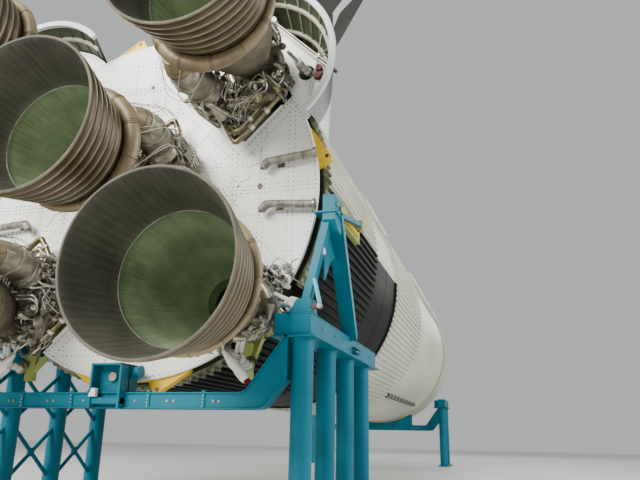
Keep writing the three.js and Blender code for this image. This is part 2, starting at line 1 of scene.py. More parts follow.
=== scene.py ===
# %% [markdown]
# # A rocket's first stage on its display cradles
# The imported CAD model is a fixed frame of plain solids. This lesson puts the fine surface over it:
# rolled hoops on the nozzles, wrapped ducts, riveted sheet, stringers, wires and worn paint.
# The stage lies on its side, its engines towards -Y and its nose towards +Y.

# %% Load the frame
import math
import random

import bmesh
import bpy
import numpy as np
from mathutils import Matrix


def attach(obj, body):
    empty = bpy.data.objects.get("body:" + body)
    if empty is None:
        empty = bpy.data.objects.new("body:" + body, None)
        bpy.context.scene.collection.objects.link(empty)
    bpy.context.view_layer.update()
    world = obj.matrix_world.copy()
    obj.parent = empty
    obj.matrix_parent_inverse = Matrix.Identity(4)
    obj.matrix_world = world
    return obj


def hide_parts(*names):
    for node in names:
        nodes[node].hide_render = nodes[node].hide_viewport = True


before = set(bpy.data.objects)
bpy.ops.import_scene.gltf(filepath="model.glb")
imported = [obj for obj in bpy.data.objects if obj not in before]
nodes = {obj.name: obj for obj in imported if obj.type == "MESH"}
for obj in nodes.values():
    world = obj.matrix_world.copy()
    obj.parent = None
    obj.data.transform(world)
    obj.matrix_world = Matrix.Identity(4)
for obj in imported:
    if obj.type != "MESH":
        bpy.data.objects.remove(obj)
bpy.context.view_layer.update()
print("solids in the frame:", len(nodes))

# %% [markdown]
# The shapes below are easier to think about on the full-size stage, so every point is written in its
# metres: x to the right seen from behind, y forward from the heat shield, z up from the centre line.
# One small function turns such a point into the metres of this half-size model.

# %% Full-size metres to the model's own
SCALE = 0.5
EXIT_Y, FRONT_Y, AXIS_HEIGHT = -5.1, 36.97, 8.0
SHIFT = np.array([0, -(EXIT_Y + FRONT_Y) / 2, AXIS_HEIGHT])
# the two sides of the stage, and the directions of the four outer bays
SIDES, BAY_ANGLES = (("right", 1), ("left", -1)), (45, 135, 225, 315)


def to_model(points):
    return (np.asarray(points, float) + SHIFT) * SCALE


def mark(axis, value):
    """One coordinate in the model's metres; axis is 0, 1 or 2."""
    return float(to_model(np.eye(3)[axis] * value)[axis])


print("the shield's centre lies at", to_model([0, 0, 0]))

# %% [markdown]
# A piece is gathered as plain lists of corners and faces, and becomes one mesh at the end. This is
# quicker than Blender's operators when a piece holds hundreds of small tubes and bolts. Each face
# remembers its finish and, on turned shapes, how far round it lies (u) and how far along (v), so
# that a material can draw lines that follow the turning.

# %% Gathering a piece
class Piece:
    def __init__(self):
        self.points, self.faces, self.finish, self.uvs = [], [], [], []
        self.count = 0

    def add(self, points, faces, finish, uvs):
        self.points.append(np.asarray(points, float))
        self.faces += [tuple(self.count + i for i in face) for face in faces]
        self.finish += finish
        self.uvs += uvs
        self.count += len(points)


def skin_rings(piece, rings, finish=0, closed=False, v=None):
    """Joins a row of rings that have the same number of corners, and caps both ends unless it is closed."""
    n, m = len(rings[0]), len(rings)
    v = v or list(range(m + 1))
    kinds = finish if isinstance(finish, list) else [finish] * m
    faces, finishes, uvs = [], [], []
    for j in range(m if closed else m - 1):
        k = (j + 1) % m
        for i in range(n):
            o = (i + 1) % n
            faces.append((j * n + i, j * n + o, k * n + o, k * n + i))
            finishes.append(kinds[j])
            a, b, c, d = i / n, (i + 1) / n, v[j], v[j + 1]
            uvs.append(((a, c), (b, c), (b, d), (a, d)))
    if not closed:
        for ring, j in ((range(n), 0), (range(m * n - 1, m * n - n - 1, -1), -1)):
            faces.append(tuple(ring))
            finishes.append(kinds[j])
            uvs.append(tuple((i / n, v[j]) for i in range(n)))
    piece.add(np.concatenate(rings), faces, finishes, uvs)


print("a piece can be gathered")

# %% [markdown]
# Almost everything round is a profile turned about a line or a tube along a path. A tube keeps its
# ring square to the path from point to point, so it never twists. A dented tube takes its dents from
# a fixed seed, so wrap and foil crumple the same way every time.

# %% Round shapes
def full_turn(count):
    return np.linspace(0, 2 * math.pi, count, endpoint=False)


def two_across(axis):
    """Two directions across an axis."""
    axis = np.asarray(axis, float) / np.linalg.norm(axis)
    side = np.cross(axis, (0, 0, 1) if abs(axis[2]) < 0.9 else (1, 0, 0))
    side /= np.linalg.norm(side)
    return side, np.cross(axis, side)


def turn(piece, profile, sides, x=0.0, z=0.0, finish=0):
    """A profile of (radius, y) pairs, turned about the line through (x, z)."""
    a = full_turn(sides)
    rings = [np.stack([x + r * np.cos(a), np.full(sides, y), z + r * np.sin(a)], -1) for r, y in profile]
    skin_rings(piece, rings, finish, v=[y for _, y in profile] + [profile[0][1]])


def tube(piece, path, radius, sides=8, finish=0, closed=False, crumple=0.0):
    """A round tube along a path; the radius may change from point to point, and 'crumple' dents it."""
    path = np.asarray(path, float)
    radius = np.broadcast_to(radius, len(path))
    dents = np.random.default_rng(len(path)).uniform(-1, 1, (len(path), sides, 1))
    crumple = np.broadcast_to(crumple, len(path))
    ahead = np.roll(path, -1, 0) - np.roll(path, 1, 0)
    if not closed:
        ahead[0], ahead[-1] = path[1] - path[0], path[-1] - path[-2]
    ahead /= np.linalg.norm(ahead, axis=1)[:, None]
    side = np.cross(ahead[0], (0, 0, 1) if abs(ahead[0][2]) < 0.9 else (1, 0, 0))
    a = full_turn(sides)[:, None]
    rings = []
    for point, way, r, dent, depth in zip(path, ahead, radius, dents, crumple):
        side = side - way * side.dot(way)
        side /= np.linalg.norm(side)
        up = np.cross(way, side)
        rings.append(point + r * (1 + depth * dent) * (np.cos(a) * side + np.sin(a) * up))
    skin_rings(piece, rings, finish, closed)


def smooth(points, steps=6):
    """A soft curve through all the points (Catmull-Rom)."""
    p = np.asarray(points, float)
    p = np.concatenate([[2 * p[0] - p[1]], p, [2 * p[-1] - p[-2]]])
    t = np.linspace(0, 1, steps, endpoint=False)[:, None]
    out = []
    for a, b, c, d in zip(p, p[1:], p[2:], p[3:]):
        out.append(0.5 * (2 * b + (c - a) * t + (2 * a - 5 * b + 4 * c - d) * t**2 + (3 * b - a - 3 * c + d) * t**3))
    return np.concatenate(out + [p[-2:-1]])


def ball(piece, centre, radius, sides=16, finish=0, crumple=0.0):
    t = np.linspace(-1, 1, sides // 2 + 1)[1:-1] * math.pi / 2
    path = [np.asarray(centre, float) + (0, radius * math.sin(k), 0) for k in t]
    tube(piece, path, radius * np.cos(t), sides, finish, crumple=crumple)


def bolts(piece, centre, axis, ring_radius, count, size, finish):
    """Hexagon heads in a circle round an axis."""
    axis = np.asarray(axis, float) / np.linalg.norm(axis)
    side, up = two_across(axis)
    for i in range(count):
        a = 2 * math.pi * i / count
        foot = np.asarray(centre, float) + ring_radius * (math.cos(a) * side + math.sin(a) * up)
        tube(piece, [foot - 0.3 * size * axis, foot + 0.7 * size * axis], size / 2, 6, finish)


print("round shapes ready")

# %% [markdown]
# Straight things are bars, boxes and flat shapes with a thickness. Most of the stage repeats round its
# centre line, so a flat shape can be given as if it lay at the right and then turned to its direction.

# %% Straight shapes
def beam(piece, a, b, width, depth, up=(0, 0, 1), finish=0):
    """A square-edged bar from a to b."""
    a, b = np.asarray(a, float), np.asarray(b, float)
    way = (b - a) / np.linalg.norm(b - a)
    side = np.cross(way, up)
    side /= np.linalg.norm(side)
    top = np.cross(side, way)
    ring = [side * sx * width / 2 + top * sz * depth / 2 for sx, sz in ((-1, -1), (1, -1), (1, 1), (-1, 1))]
    skin_rings(piece, [a + ring, b + ring], finish)


def block(piece, x, y, z, finish=0):
    """A box between two values of x, of y and of z."""
    (x0, x1), (z0, z1) = sorted(x), sorted(z)
    mid_x, mid_z = (x0 + x1) / 2, (z0 + z1) / 2
    beam(piece, (mid_x, y[0], mid_z), (mid_x, y[1], mid_z), x1 - x0, z1 - z0, finish=finish)


def spin(u, v, degrees):
    """u outwards along a direction and v across it, as x and z."""
    c, d = math.cos(math.radians(degrees)), math.sin(math.radians(degrees))
    return u * c - v * d, u * d + v * c


def slab(piece, outline, y0, y1, degrees=0.0):
    """A flat shape drawn from y0 to y1; its corners are (outwards, across) along a direction."""
    corners = [spin(u, v, degrees) for u, v in outline]
    skin_rings(piece, [[(x, y, z) for x, z in corners] for y in (y0, y1)])


print("straight shapes ready")

# %% [markdown]
# Turning a gathered piece into an object: the normals are made to point outwards, faces are shaded
# smooth with sharp edges kept where the surface really turns, and the object takes its finishes and is
# told which CAD body it rides on and which plain solid it stands for.

# %% From a piece to an object
SHARP = math.radians(32)


def show(name, data):
    """A new object of that name in the scene."""
    thing = bpy.data.objects.new(name, data)
    bpy.context.scene.collection.objects.link(thing)
    return thing


def shade(mesh):
    mesh.shade_smooth()
    mesh.set_sharp_from_angle(angle=SHARP)
    return mesh


def mesh_from(piece, name):
    mesh = bpy.data.meshes.new(name)
    mesh.from_pydata(to_model(np.concatenate(piece.points)).tolist(), [], piece.faces)
    mesh.polygons.foreach_set("material_index", piece.finish)
    layer = mesh.uv_layers.new(name="turning")
    layer.data.foreach_set("uv", [value for uv in piece.uvs for pair in uv for value in pair])
    work = bmesh.new()
    work.from_mesh(mesh)
    bmesh.ops.recalc_face_normals(work, faces=work.faces)
    work.to_mesh(mesh)
    work.free()
    return shade(mesh)


def put(name, piece, finishes, replaces=(), body="stage", edge=0.0):
    thing = show(name, mesh_from(piece, name) if isinstance(piece, Piece) else piece)
    for finish in finishes:
        thing.data.materials.append(finish)
    if edge:
        bevel = thing.modifiers.new("worn edges", "BEVEL")
        bevel.width, bevel.segments, bevel.limit_method = edge, 2, "ANGLE"
        bevel.harden_normals = True
    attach(thing, body)
    if replaces:
        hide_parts(*replaces)


def paint_solid(name, finish):
    """Gives a plain solid of the frame one finish."""
    nodes[name].data.materials.clear()
    nodes[name].data.materials.append(finish)


def carved(piece, cutters, name):
    """The piece with each cutter taken away from it, as a new mesh."""
    solid = show(name, mesh_from(piece, name))
    tools = []
    for i, cutter in enumerate(cutters):
        tools.append(show(f"{name}_cutter_{i}", mesh_from(cutter, f"{name}_cutter")))
        cut = solid.modifiers.new("cut", "BOOLEAN")
        cut.operation, cut.solver, cut.object = "DIFFERENCE", "EXACT", tools[-1]
    bpy.context.view_layer.update()
    mesh = bpy.data.meshes.new_from_object(solid.evaluated_get(bpy.context.evaluated_depsgraph_get()))
    for thing in [solid, *tools]:
        bpy.data.objects.remove(thing)
    return shade(mesh)


print("sharp edges from", round(math.degrees(SHARP)), "degrees")

# %% [markdown]
# ## Camera
# The camera stands to the right behind the engines, low over the floor, and is tipped up. Its place and
# its lens were worked out from the ellipses of the nozzle mouths.

# %% Camera
EYE = to_model([9.1323, -14.5016, -6.1542])
YAW, PITCH, ROLL = math.radians(-15.96), math.radians(17.12), math.radians(1.06)
FOCAL_PX, FRAME_PX, SENSOR_MM = 638.6, 640, 36.0


def look(thing, right, above, ahead, place):
    """Stands a camera or a lamp at a place, turned by its three directions."""
    rows = [[right[i], above[i], -ahead[i], place[i]] for i in range(3)]
    thing.matrix_world = Matrix(rows + [[0, 0, 0, 1]])


ahead = np.array([math.sin(YAW) * math.cos(PITCH), math.cos(YAW) * math.cos(PITCH), math.sin(PITCH)])
level = np.array([math.cos(YAW), -math.sin(YAW), 0.0])
above = np.cross(level, ahead)
right = math.cos(ROLL) * level + math.sin(ROLL) * above
above = math.cos(ROLL) * above - math.sin(ROLL) * level
view = bpy.data.cameras.new("camera")
view.sensor_width = SENSOR_MM
view.lens = SENSOR_MM * FOCAL_PX / FRAME_PX
view.clip_end = 300
camera = show("camera", view)
look(camera, right, above, ahead, EYE)
bpy.context.scene.camera = camera
print("lens", round(view.lens, 1), "mm, eye", round(EYE[2], 2), "m above the floor")

# %% [markdown]
# ## Light and floor
# The light is wide and soft: a pale world all round, a large lamp high behind the camera that makes
# the shield bright, and a weaker one from the right that gives the tanks their long highlight.

# %% Light and floor
def lamp(name, place, target, size, power, colour=(1, 1, 1)):
    data = bpy.data.lights.new(name, "AREA")
    data.size, data.energy, data.color = size, power, colour
    way = np.asarray(target, float) - place
    way /= np.linalg.norm(way)
    side = np.cross(way, (0, 0, 1))
    side /= np.linalg.norm(side)
    look(show(name, data), side, np.cross(side, way), way, place)


lamp("key_lamp", (-4, -22, 11), (0, -6, 4), 10, 8000, (1.0, 0.99, 0.96))
lamp("side_lamp", (18, -4, 10), (2, 2, 4), 10, 2900, (0.96, 0.99, 1.0))
lamp("left_lamp", (-18, 0, 10), (-2, 2, 4), 10, 900)
lamp("front_lamp", (4, 24, 12), (0, 8, 4), 10, 900)

world = bpy.data.worlds.new("soft_light")
bpy.context.scene.world = world
world.use_nodes = True
world.node_tree.nodes["Background"].inputs["Color"].default_value = (0.84, 0.86, 0.86, 1)
world.node_tree.nodes["Background"].inputs["Strength"].default_value = 0.62

FLOOR_HALF = 45.0
ground = bpy.data.meshes.new("floor")
corners = [(x * FLOOR_HALF, y * FLOOR_HALF, 0) for x, y in ((-1, -1), (1, -1), (1, 1), (-1, 1))]
ground.from_pydata(corners, [], [(0, 1, 2, 3)])
floor = show("floor", ground)
print("floor", 2 * FLOOR_HALF, "m wide")

# %% [markdown]
# ## Finishes
# Most surfaces are one recipe with different numbers: a base colour that drifts to a second one over
# a slow noise, roughness that follows a finer noise, and a bump at the scale of the real texture.
# The noise reads the object's own coordinates, so it stays on the surface in every view.

# %% Nodes for the finishes
def fresh(name, metallic, roughness):
    material = bpy.data.materials.new(name)
    material.use_nodes = True
    tree = material.node_tree
    shader = tree.nodes["Principled BSDF"]
    shader.inputs["Metallic"].default_value = metallic
    shader.inputs["Roughness"].default_value = roughness
    return material, tree, shader


def feed(tree, value, socket):
    """Gives a socket a number, a colour or another node's output."""
    if isinstance(value, (int, float)):
        socket.default_value = value
    elif isinstance(value, tuple):
        socket.default_value = (*value, 1)
    else:
        tree.links.new(value, socket)


def add_node(tree, kind, inputs, **settings):
    """A new node with its settings and what goes into it."""
    made = tree.nodes.new(kind)
    for key, value in settings.items():
        setattr(made, key, value)
    for key, value in inputs.items():
        feed(tree, value, made.inputs[key])
    return made


def coordinates(tree, stretch=(1, 1, 1), source="Object"):
    place = add_node(tree, "ShaderNodeTexCoord", {})
    mapping = add_node(tree, "ShaderNodeMapping", {"Vector": place.outputs[source]})
    mapping.inputs["Scale"].default_value = stretch
    return mapping.outputs["Vector"]


def apart(tree, vector):
    """The X, Y and Z of a vector."""
    return add_node(tree, "ShaderNodeSeparateXYZ", {"Vector": vector}).outputs


def noise(tree, where, scale, detail=6.0):
    made = add_node(tree, "ShaderNodeTexNoise", {"Scale": scale, "Detail": detail, "Vector": where})
    return made.outputs["Fac"]


def ramp(tree, value, stops):
    made = add_node(tree, "ShaderNodeValToRGB", {"Fac": value})
    while len(made.color_ramp.elements) < len(stops):
        made.color_ramp.elements.new(0.5)
    for element, (place, colour) in zip(made.color_ramp.elements, stops):
        element.position, element.color = place, (*colour, 1)
    return made.outputs["Color"]


def math_node(tree, operation, a, b=0.0, c=0.0):
    return add_node(tree, "ShaderNodeMath", {0: a, 1: b, 2: c}, operation=operation).outputs["Value"]


def blend_colours(tree, factor, a, b, kind="MIX"):
    inputs = {"Factor": factor, "A": a, "B": b}
    return add_node(tree, "ShaderNodeMix", inputs, data_type="RGBA", blend_type=kind).outputs["Result"]


def bump(tree, shader, height, strength, distance=0.01):
    made = add_node(tree, "ShaderNodeBump", {"Strength": strength, "Distance": distance, "Height": height})
    feed(tree, made.outputs["Normal"], shader.inputs["Normal"])


def roughness_range(tree, shader, value, low, high):
    """Roughness that goes from low to high with a value."""
    made = add_node(tree, "ShaderNodeMapRange", {"To Min": low, "To Max": high, "Value": value})
    feed(tree, made.outputs["Result"], shader.inputs["Roughness"])


print("node helpers ready")

# %% [markdown]
# The common recipe takes two colours and a few numbers. Every paint, wrap and metal below names what
# it is on the stage; the two colours are what it looks like clean and aged.

# %% The common recipe
def worn(name, base, aged, metallic=0.0, rough=(0.35, 0.6), slow=1.2, fine=40.0, relief=0.15,
         stretch=(1, 1, 1), shine=0.5):
    material, tree, shader = fresh(name, metallic, rough[0])
    shader.inputs["Specular IOR Level"].default_value = shine
    where = coordinates(tree, stretch)
    feed(tree, ramp(tree, noise(tree, where, slow), [(0.3, aged), (0.62, base)]), shader.inputs["Base Color"])
    grain = noise(tree, where, fine, 4.0)
    roughness_range(tree, shader, grain, *rough)
    bump(tree, shader, grain, relief)
    return material


# name, clean colour, aged colour; then metallic, rough, slow, fine and relief where they aren't the recipe's own
shield_white = worn("shield_white", (0.95, 0.945, 0.90), (0.87, 0.86, 0.80), 0.0, (0.4, 0.6), 0.8, relief=0.06)
skirt_white = worn("skirt_white", (0.68, 0.67, 0.56), (0.52, 0.52, 0.43), slow=0.7, relief=0.08)
fairing_paint = worn("fairing_paint", (0.66, 0.70, 0.69), (0.50, 0.54, 0.52), 0.0, (0.35, 0.55), 1.1, relief=0.08)
primer = worn("yellow_green_primer", (0.44, 0.47, 0.14), (0.26, 0.30, 0.09), 0.0, (0.45, 0.7), 2.5, relief=0.1)
dark_primer = worn("dark_green_primer", (0.085, 0.105, 0.05), (0.035, 0.045, 0.025), 0.0, (0.4, 0.65), 2.0,
                   relief=0.1)
yellow = worn("bracket_yellow", (0.90, 0.58, 0.01), (0.72, 0.42, 0.01), 0.0, (0.35, 0.5), 2.0, relief=0.05)
teal = worn("cradle_teal", (0.0004, 0.155, 0.225), (0.0004, 0.115, 0.17), 0.0, (0.38, 0.5), 1.5, relief=0.04,
            shine=0.22)
foil = worn("foil_wrap", (0.27, 0.21, 0.115), (0.145, 0.11, 0.06), 0.25, slow=3.0, fine=26.0, relief=0.4)
silver_foil = worn("silver_foil", (0.38, 0.35, 0.27), (0.17, 0.15, 0.10), 0.6, (0.25, 0.5), 7.0, 30.0, 0.6)
grey_wrap = worn("grey_wrap", (0.40, 0.40, 0.37), (0.15, 0.145, 0.12), 0.2, (0.5, 0.8), 7.0, relief=0.7)
wire = worn("band_wire", (0.17, 0.13, 0.08), (0.08, 0.06, 0.04), 0.7, (0.4, 0.6), fine=90.0)
steel = worn("machined_steel", (0.42, 0.39, 0.32), (0.20, 0.18, 0.14), 0.85, (0.25, 0.5), 6.0)
dull_steel = worn("dull_steel", (0.24, 0.215, 0.165), (0.095, 0.083, 0.06), 0.8, slow=5.0, relief=0.3)
bright_tube = worn("bright_tube", (0.66, 0.64, 0.58), (0.42, 0.40, 0.34), 0.9, (0.26, 0.42), 8.0, relief=0.05)
wrapped = worn("white_wrap", (0.80, 0.79, 0.74), (0.58, 0.56, 0.50), 0.0, (0.6, 0.85), 8.0, 60.0, 0.6)
cream = worn("cream_insulation", (0.50, 0.46, 0.35), (0.28, 0.25, 0.18), 0.0, (0.55, 0.8), 9.0, 70.0, 0.5)
brown_metal = worn("browned_metal", (0.13, 0.10, 0.065), (0.045, 0.035, 0.025), 0.6, slow=6.0, relief=0.3)
gold_casting = worn("golden_casting", (0.30, 0.27, 0.11), (0.13, 0.12, 0.05), 0.7, (0.3, 0.5), 6.0)
gold_line = worn("golden_line", (0.30, 0.26, 0.15), (0.13, 0.11, 0.06), 0.85, (0.25, 0.4), 6.0, relief=0.1)
red_cap = worn("red_cap", (0.15, 0.004, 0.005), (0.09, 0.003, 0.004), rough=(0.35, 0.5), slow=9.0, shine=0.15)
spot = worn("spot_dark_red", (0.13, 0.03, 0.022), (0.08, 0.022, 0.018), rough=(0.4, 0.6), slow=9.0)
dark = worn("dark_fastener", (0.075, 0.065, 0.05), (0.04, 0.034, 0.028), 0.5, (0.4, 0.6), 9.0)
ground_paint = worn("floor_paint", (0.70, 0.70, 0.68), (0.64, 0.64, 0.62), 0.0, (0.45, 0.65), 0.3, 6.0, 0.03)
floor.data.materials.append(ground_paint)
print("finishes so far:", len(bpy.data.materials))

# %% [markdown]
# The nozzle needs finishes of its own. The wall of the bell is made of hundreds of thin cooling tubes
# laid side by side, so its inside shows fine lines that run from throat to mouth: they are drawn from
# the u of the turning. The extension is sheet that has browned, with streaks along the bell.

# %% Nozzle finishes
def turning(tree):
    """How far round (X) and how far along (Y) a point of a turned shape lies."""
    return apart(tree, add_node(tree, "ShaderNodeUVMap", {}, uv_map="turning").outputs["UV"])


def striped(name, stripes, light, dim, metallic, roughness, depth):
    material, tree, shader = fresh(name, metallic, roughness)
    wave = math_node(tree, "SINE", math_node(tree, "MULTIPLY", turning(tree)["X"], 2 * math.pi * stripes))
    lifted = math_node(tree, "MULTIPLY_ADD", wave, 0.5, 0.5)
    patches = noise(tree, coordinates(tree), 3.0)
    streaks = noise(tree, coordinates(tree, (150, 0.35, 1), "UV"), 3.0, 4.0)
    tone = math_node(tree, "MULTIPLY", math_node(tree, "ADD", patches, streaks), 0.5)
    base = ramp(tree, tone, [(0.38, dim), (0.62, light)])
    lines = math_node(tree, "MULTIPLY_ADD", lifted, depth, 1 - depth)
    grey = add_node(tree, "ShaderNodeCombineColor", {"Red": lines, "Green": lines, "Blue": lines}).outputs["Color"]
    feed(tree, blend_colours(tree, 1.0, base, grey, "MULTIPLY"), shader.inputs["Base Color"])
    bump(tree, shader, lifted, 0.5, 0.004)
    return material


tube_wall = striped("tube_wall_inside", 178, (0.31, 0.38, 0.225), (0.145, 0.20, 0.105), 0.25, 0.4, 0.18)
extension_inside = striped("extension_inside", 60, (0.112, 0.108, 0.084), (0.064, 0.061, 0.047), 0.4, 0.42, 0.15)
bell_outside = striped("bell_outside", 178, (0.24, 0.205, 0.14), (0.11, 0.09, 0.06), 0.6, 0.4, 0.3)
lip = worn("mouth_lip", (0.085, 0.078, 0.066), (0.05, 0.046, 0.04), rough=(0.5, 0.7), slow=4.0, shine=0.2)
# the golden edge is a painted highlight: the mouth's outer bead is coloured golden for the light it catches
gold_edge_highlight = worn("golden_edge_highlight", (0.15, 0.125, 0.07), (0.085, 0.07, 0.04), 0.2, (0.4, 0.55), 4.0, shine=0.25)
injector = worn("injector_face", (0.07, 0.12, 0.05), (0.03, 0.05, 0.02), 0.3, (0.5, 0.7), 8.0, 60.0, 0.8)
VALLEY_SHADE = (0.028, 0.021, 0.011)
# (place across one ridge, colour): painted shade in the valleys, a painted highlight on the crest
RIDGE_SHADE_AND_HIGHLIGHT = [(0.0, VALLEY_SHADE), (0.30, (0.115, 0.087, 0.046)), (0.44, (0.19, 0.148, 0.082)), (0.5, (0.50, 0.43, 0.28)),
               (0.56, (0.20, 0.155, 0.087)), (1.0, VALLEY_SHADE)]


def ridged(name, start, pitch):
    """Sheet with rolled ridges: a pale painted highlight on each crest and dark brown painted shade in each valley.
    """
    material, tree, shader = fresh(name, 0.45, 0.4)
    along = math_node(tree, "MULTIPLY", math_node(tree, "SUBTRACT", turning(tree)["Y"], start), 1 / pitch)
    patches = noise(tree, coordinates(tree), 2.2)
    tone = ramp(tree, math_node(tree, "FRACT", along), RIDGE_SHADE_AND_HIGHLIGHT)
    stain = ramp(tree, patches, [(0.3, (0.62, 0.58, 0.50)), (0.65, (1.0, 1.0, 1.0))])
    feed(tree, blend_colours(tree, 1.0, tone, stain, "MULTIPLY"), shader.inputs["Base Color"])
    bump(tree, shader, noise(tree, coordinates(tree), 30.0), 0.15)
    return material


print("nozzle finishes ready")

# %% [markdown]
# ## Thrust chambers
# One profile is turned for each engine: injector dome, throat, bell with hoop bands, and the extension
# with its rolled ridges. Outside, lip and inside are one closed wall, so the mouth has real thickness.
# The outer four can swing: each gets two ears for the gimbal and two arms for its actuators.

# %% The engines' places
GIMBAL_Y, ENGINE_RING_R = 0.38, 4.623
THROAT_R, EXIT_R, THROAT_S, EXIT_S = 0.445, 1.7, 1.5, 5.48
OFFSET = ENGINE_RING_R / math.sqrt(2)
# x, z and the way to the pump in degrees
BAYS = {
    "centre": (0.0, 0.0, 32), "upper_right": (OFFSET, OFFSET, 227), "upper_left": (-OFFSET, OFFSET, 317),
    "lower_left": (-OFFSET, -OFFSET, 45), "lower_right": (OFFSET, -OFFSET, 137),
}


def body_of(bay):
    return "stage" if bay == "centre" else f"engine_{bay}"


def at(bay, reach, side, s):
    """A point of an engine: reach towards its pump, side across that, s aft of the gimbal."""
    x, z, pump_at = BAYS[bay]
    c, d = math.cos(math.radians(pump_at)), math.sin(math.radians(pump_at))
    return np.array([x + reach * c - side * d, GIMBAL_Y - s, z + reach * d + side * c])


def around(bay, bearing, r, s, reach=0.0):
    """A point at a bearing round the engine's line, or round a line at some reach from it."""
    return at(bay, reach + r * math.cos(bearing), r * math.sin(bearing), s)


def bell(s):
    return THROAT_R + (EXIT_R - THROAT_R) * ((s - THROAT_S) / (EXIT_S - THROAT_S)) ** 0.66


print("engine offset", round(OFFSET, 3))

# %% [markdown]
# The wall is one list of rows. Each row has a radius, a place along the engine and the number of its
# finish: 0 bell, 1 ridged sheet with painted shade and highlights, 2 golden edge with a painted
# highlight, 3 lip, 4 extension inside, 5 tube wall, 6 injector, 7 grey wrap.

# %% The turned wall
RIDGES, ROWS_PER_RIDGE = 6, 10
RIDGE_START, RIDGE_END = 3.80, 5.40
PITCH = (RIDGE_END - RIDGE_START) / RIDGES
MANIFOLD_S = 3.54
BELL_SIDES = 112
extension_outside = ridged("extension_outside", GIMBAL_Y - RIDGE_END, PITCH)
# (radius, s) outside the chamber, and (radius, s, finish) round the mouth
CHAMBER = [(0.40, 0.24), (0.55, 0.28), (0.66, 0.36), (0.67, 0.60), (0.60, 0.66), (0.56, 0.70), (0.57, 0.86),
           (0.62, 0.90), (0.62, 0.98), (0.57, 1.02), (0.565, 1.22), (0.52, 1.42)]
# finish 2 is the outer bead round the mouth, coloured golden as a painted highlight
MOUTH = [(1.74, 5.41, 1), (1.745, 5.425, 2), (1.765, 5.435, 2), (1.77, 5.455, 2), (1.755, 5.475, 2),
         (1.745, 5.48, 3), (1.725, 5.48, 3), (1.71, 5.472, 3), (1.70, 5.45, 4)]
INJECTOR = [(0.47, 1.3), (0.51, 1.1), (0.50, 0.72), (0.36, 0.70), (0.35, 0.715), (0.2, 0.70), (0.19, 0.715)]


def wall_profile():
    """(radius, s, finish) from the injector dome out to the mouth and back in to the injector."""
    rows = [(r, s, 0) for r, s in CHAMBER]
    s = THROAT_S
    while s < MANIFOLD_S - 0.2:
        r = max(bell(s) + 0.055, bell(s + 0.13) + 0.02)
        rows += [(r, s, 0), (r, s + 0.13, 0), (r + 0.035, s + 0.14, 0), (r + 0.045, s + 0.19, 0)]
        s += 0.21
    rows += [(bell(MANIFOLD_S) + 0.06, MANIFOLD_S, 0), (bell(3.78) + 0.04, 3.78, 1)]
    for i in range(RIDGES):
        for k in range(ROWS_PER_RIDGE):
            t = (k + 0.5) / ROWS_PER_RIDGE
            s = RIDGE_START + (i + t) * PITCH
            rows.append((bell(s) + 0.035 + 0.06 * math.sin(math.pi * t) ** 0.8, s, 1))
    rows += MOUTH
    rows += [(bell(s), s, 4) for s in np.linspace(5.4, 4.13, 9)]
    rows += [(bell(4.1) - 0.02, 4.10, 7), (bell(4.07) - 0.02, 4.07, 5)]
    rows += [(bell(s), s, 5 if s > 1.72 else 6) for s in np.linspace(4.03, THROAT_S, 20)]
    return rows + [(r, s, 6) for r, s in INJECTOR]


def two_ways(x, z):
    """From an outer engine, the two ways out to its actuators: along x and along z."""
    return (math.copysign(1, x), 0), (0, math.copysign(1, z))


for bay, (x, z, _) in BAYS.items():
    piece = Piece()
    rows = wall_profile()
    turn(piece, [(r, GIMBAL_Y - s) for r, s, _ in rows], BELL_SIDES, x, z, [f for _, _, f in rows])
    bolts(piece, (x, GIMBAL_Y - 0.30, z), (0, 1, 0), 0.60, 24, 0.05, 3)
    if bay != "centre":
        for side in (1, -1):
            ear = (z + side * 0.24, z + side * 0.36)
            block(piece, (x - 0.14, x + 0.14), (GIMBAL_Y - 0.3, GIMBAL_Y + 0.12), ear)
        for dx, dz in two_ways(x, z):
            root = np.array([x + 0.50 * dx, GIMBAL_Y - 1.5, z + 0.50 * dz])
            tip = np.array([x + 1.02 * dx, GIMBAL_Y - 1.7, z + 1.02 * dz])
            tube(piece, [root, (root + tip) / 2, tip], [0.13, 0.09, 0.06], 16)
            ball(piece, tip, 0.09, 16, 3)
    finishes = [bell_outside, extension_outside, gold_edge_highlight, lip, extension_inside, tube_wall, injector, grey_wrap]
    put(f"nozzle_{bay}", piece, finishes, [f"thrust_chamber_{bay}"], body_of(bay))
print("nozzles:", len(BAYS), "rows in the profile:", len(rows))

# %% [markdown]
# ## Exhaust manifold and heat exchanger
# The turbine's exhaust runs down a fat duct, round the bell in a ring, and into the extension. On the
# real engine both are wrapped in foil that is tied with wire, so they look like knotted parcels. The
# ring is a tube whose thickness shrinks away from the duct; each tie is a thin closed loop round it.

# %% Wrapped ring and duct
RING_POINTS = 72


def ring_thickness(k):
    return 0.13 + 0.065 * np.cos(k)


def ring_point(bay, k):
    return around(bay, k, bell(MANIFOLD_S) + 0.045 + ring_thickness(k), MANIFOLD_S)


def tie(piece, centre, axis, radius, thickness=0.009, finish=1):
    """A thin loop tied round something."""
    side, up = two_across(axis)
    loop = [centre + radius * (math.cos(k) * side + math.sin(k) * up) for k in full_turn(16)]
    tube(piece, loop, thickness, 4, finish, closed=True)


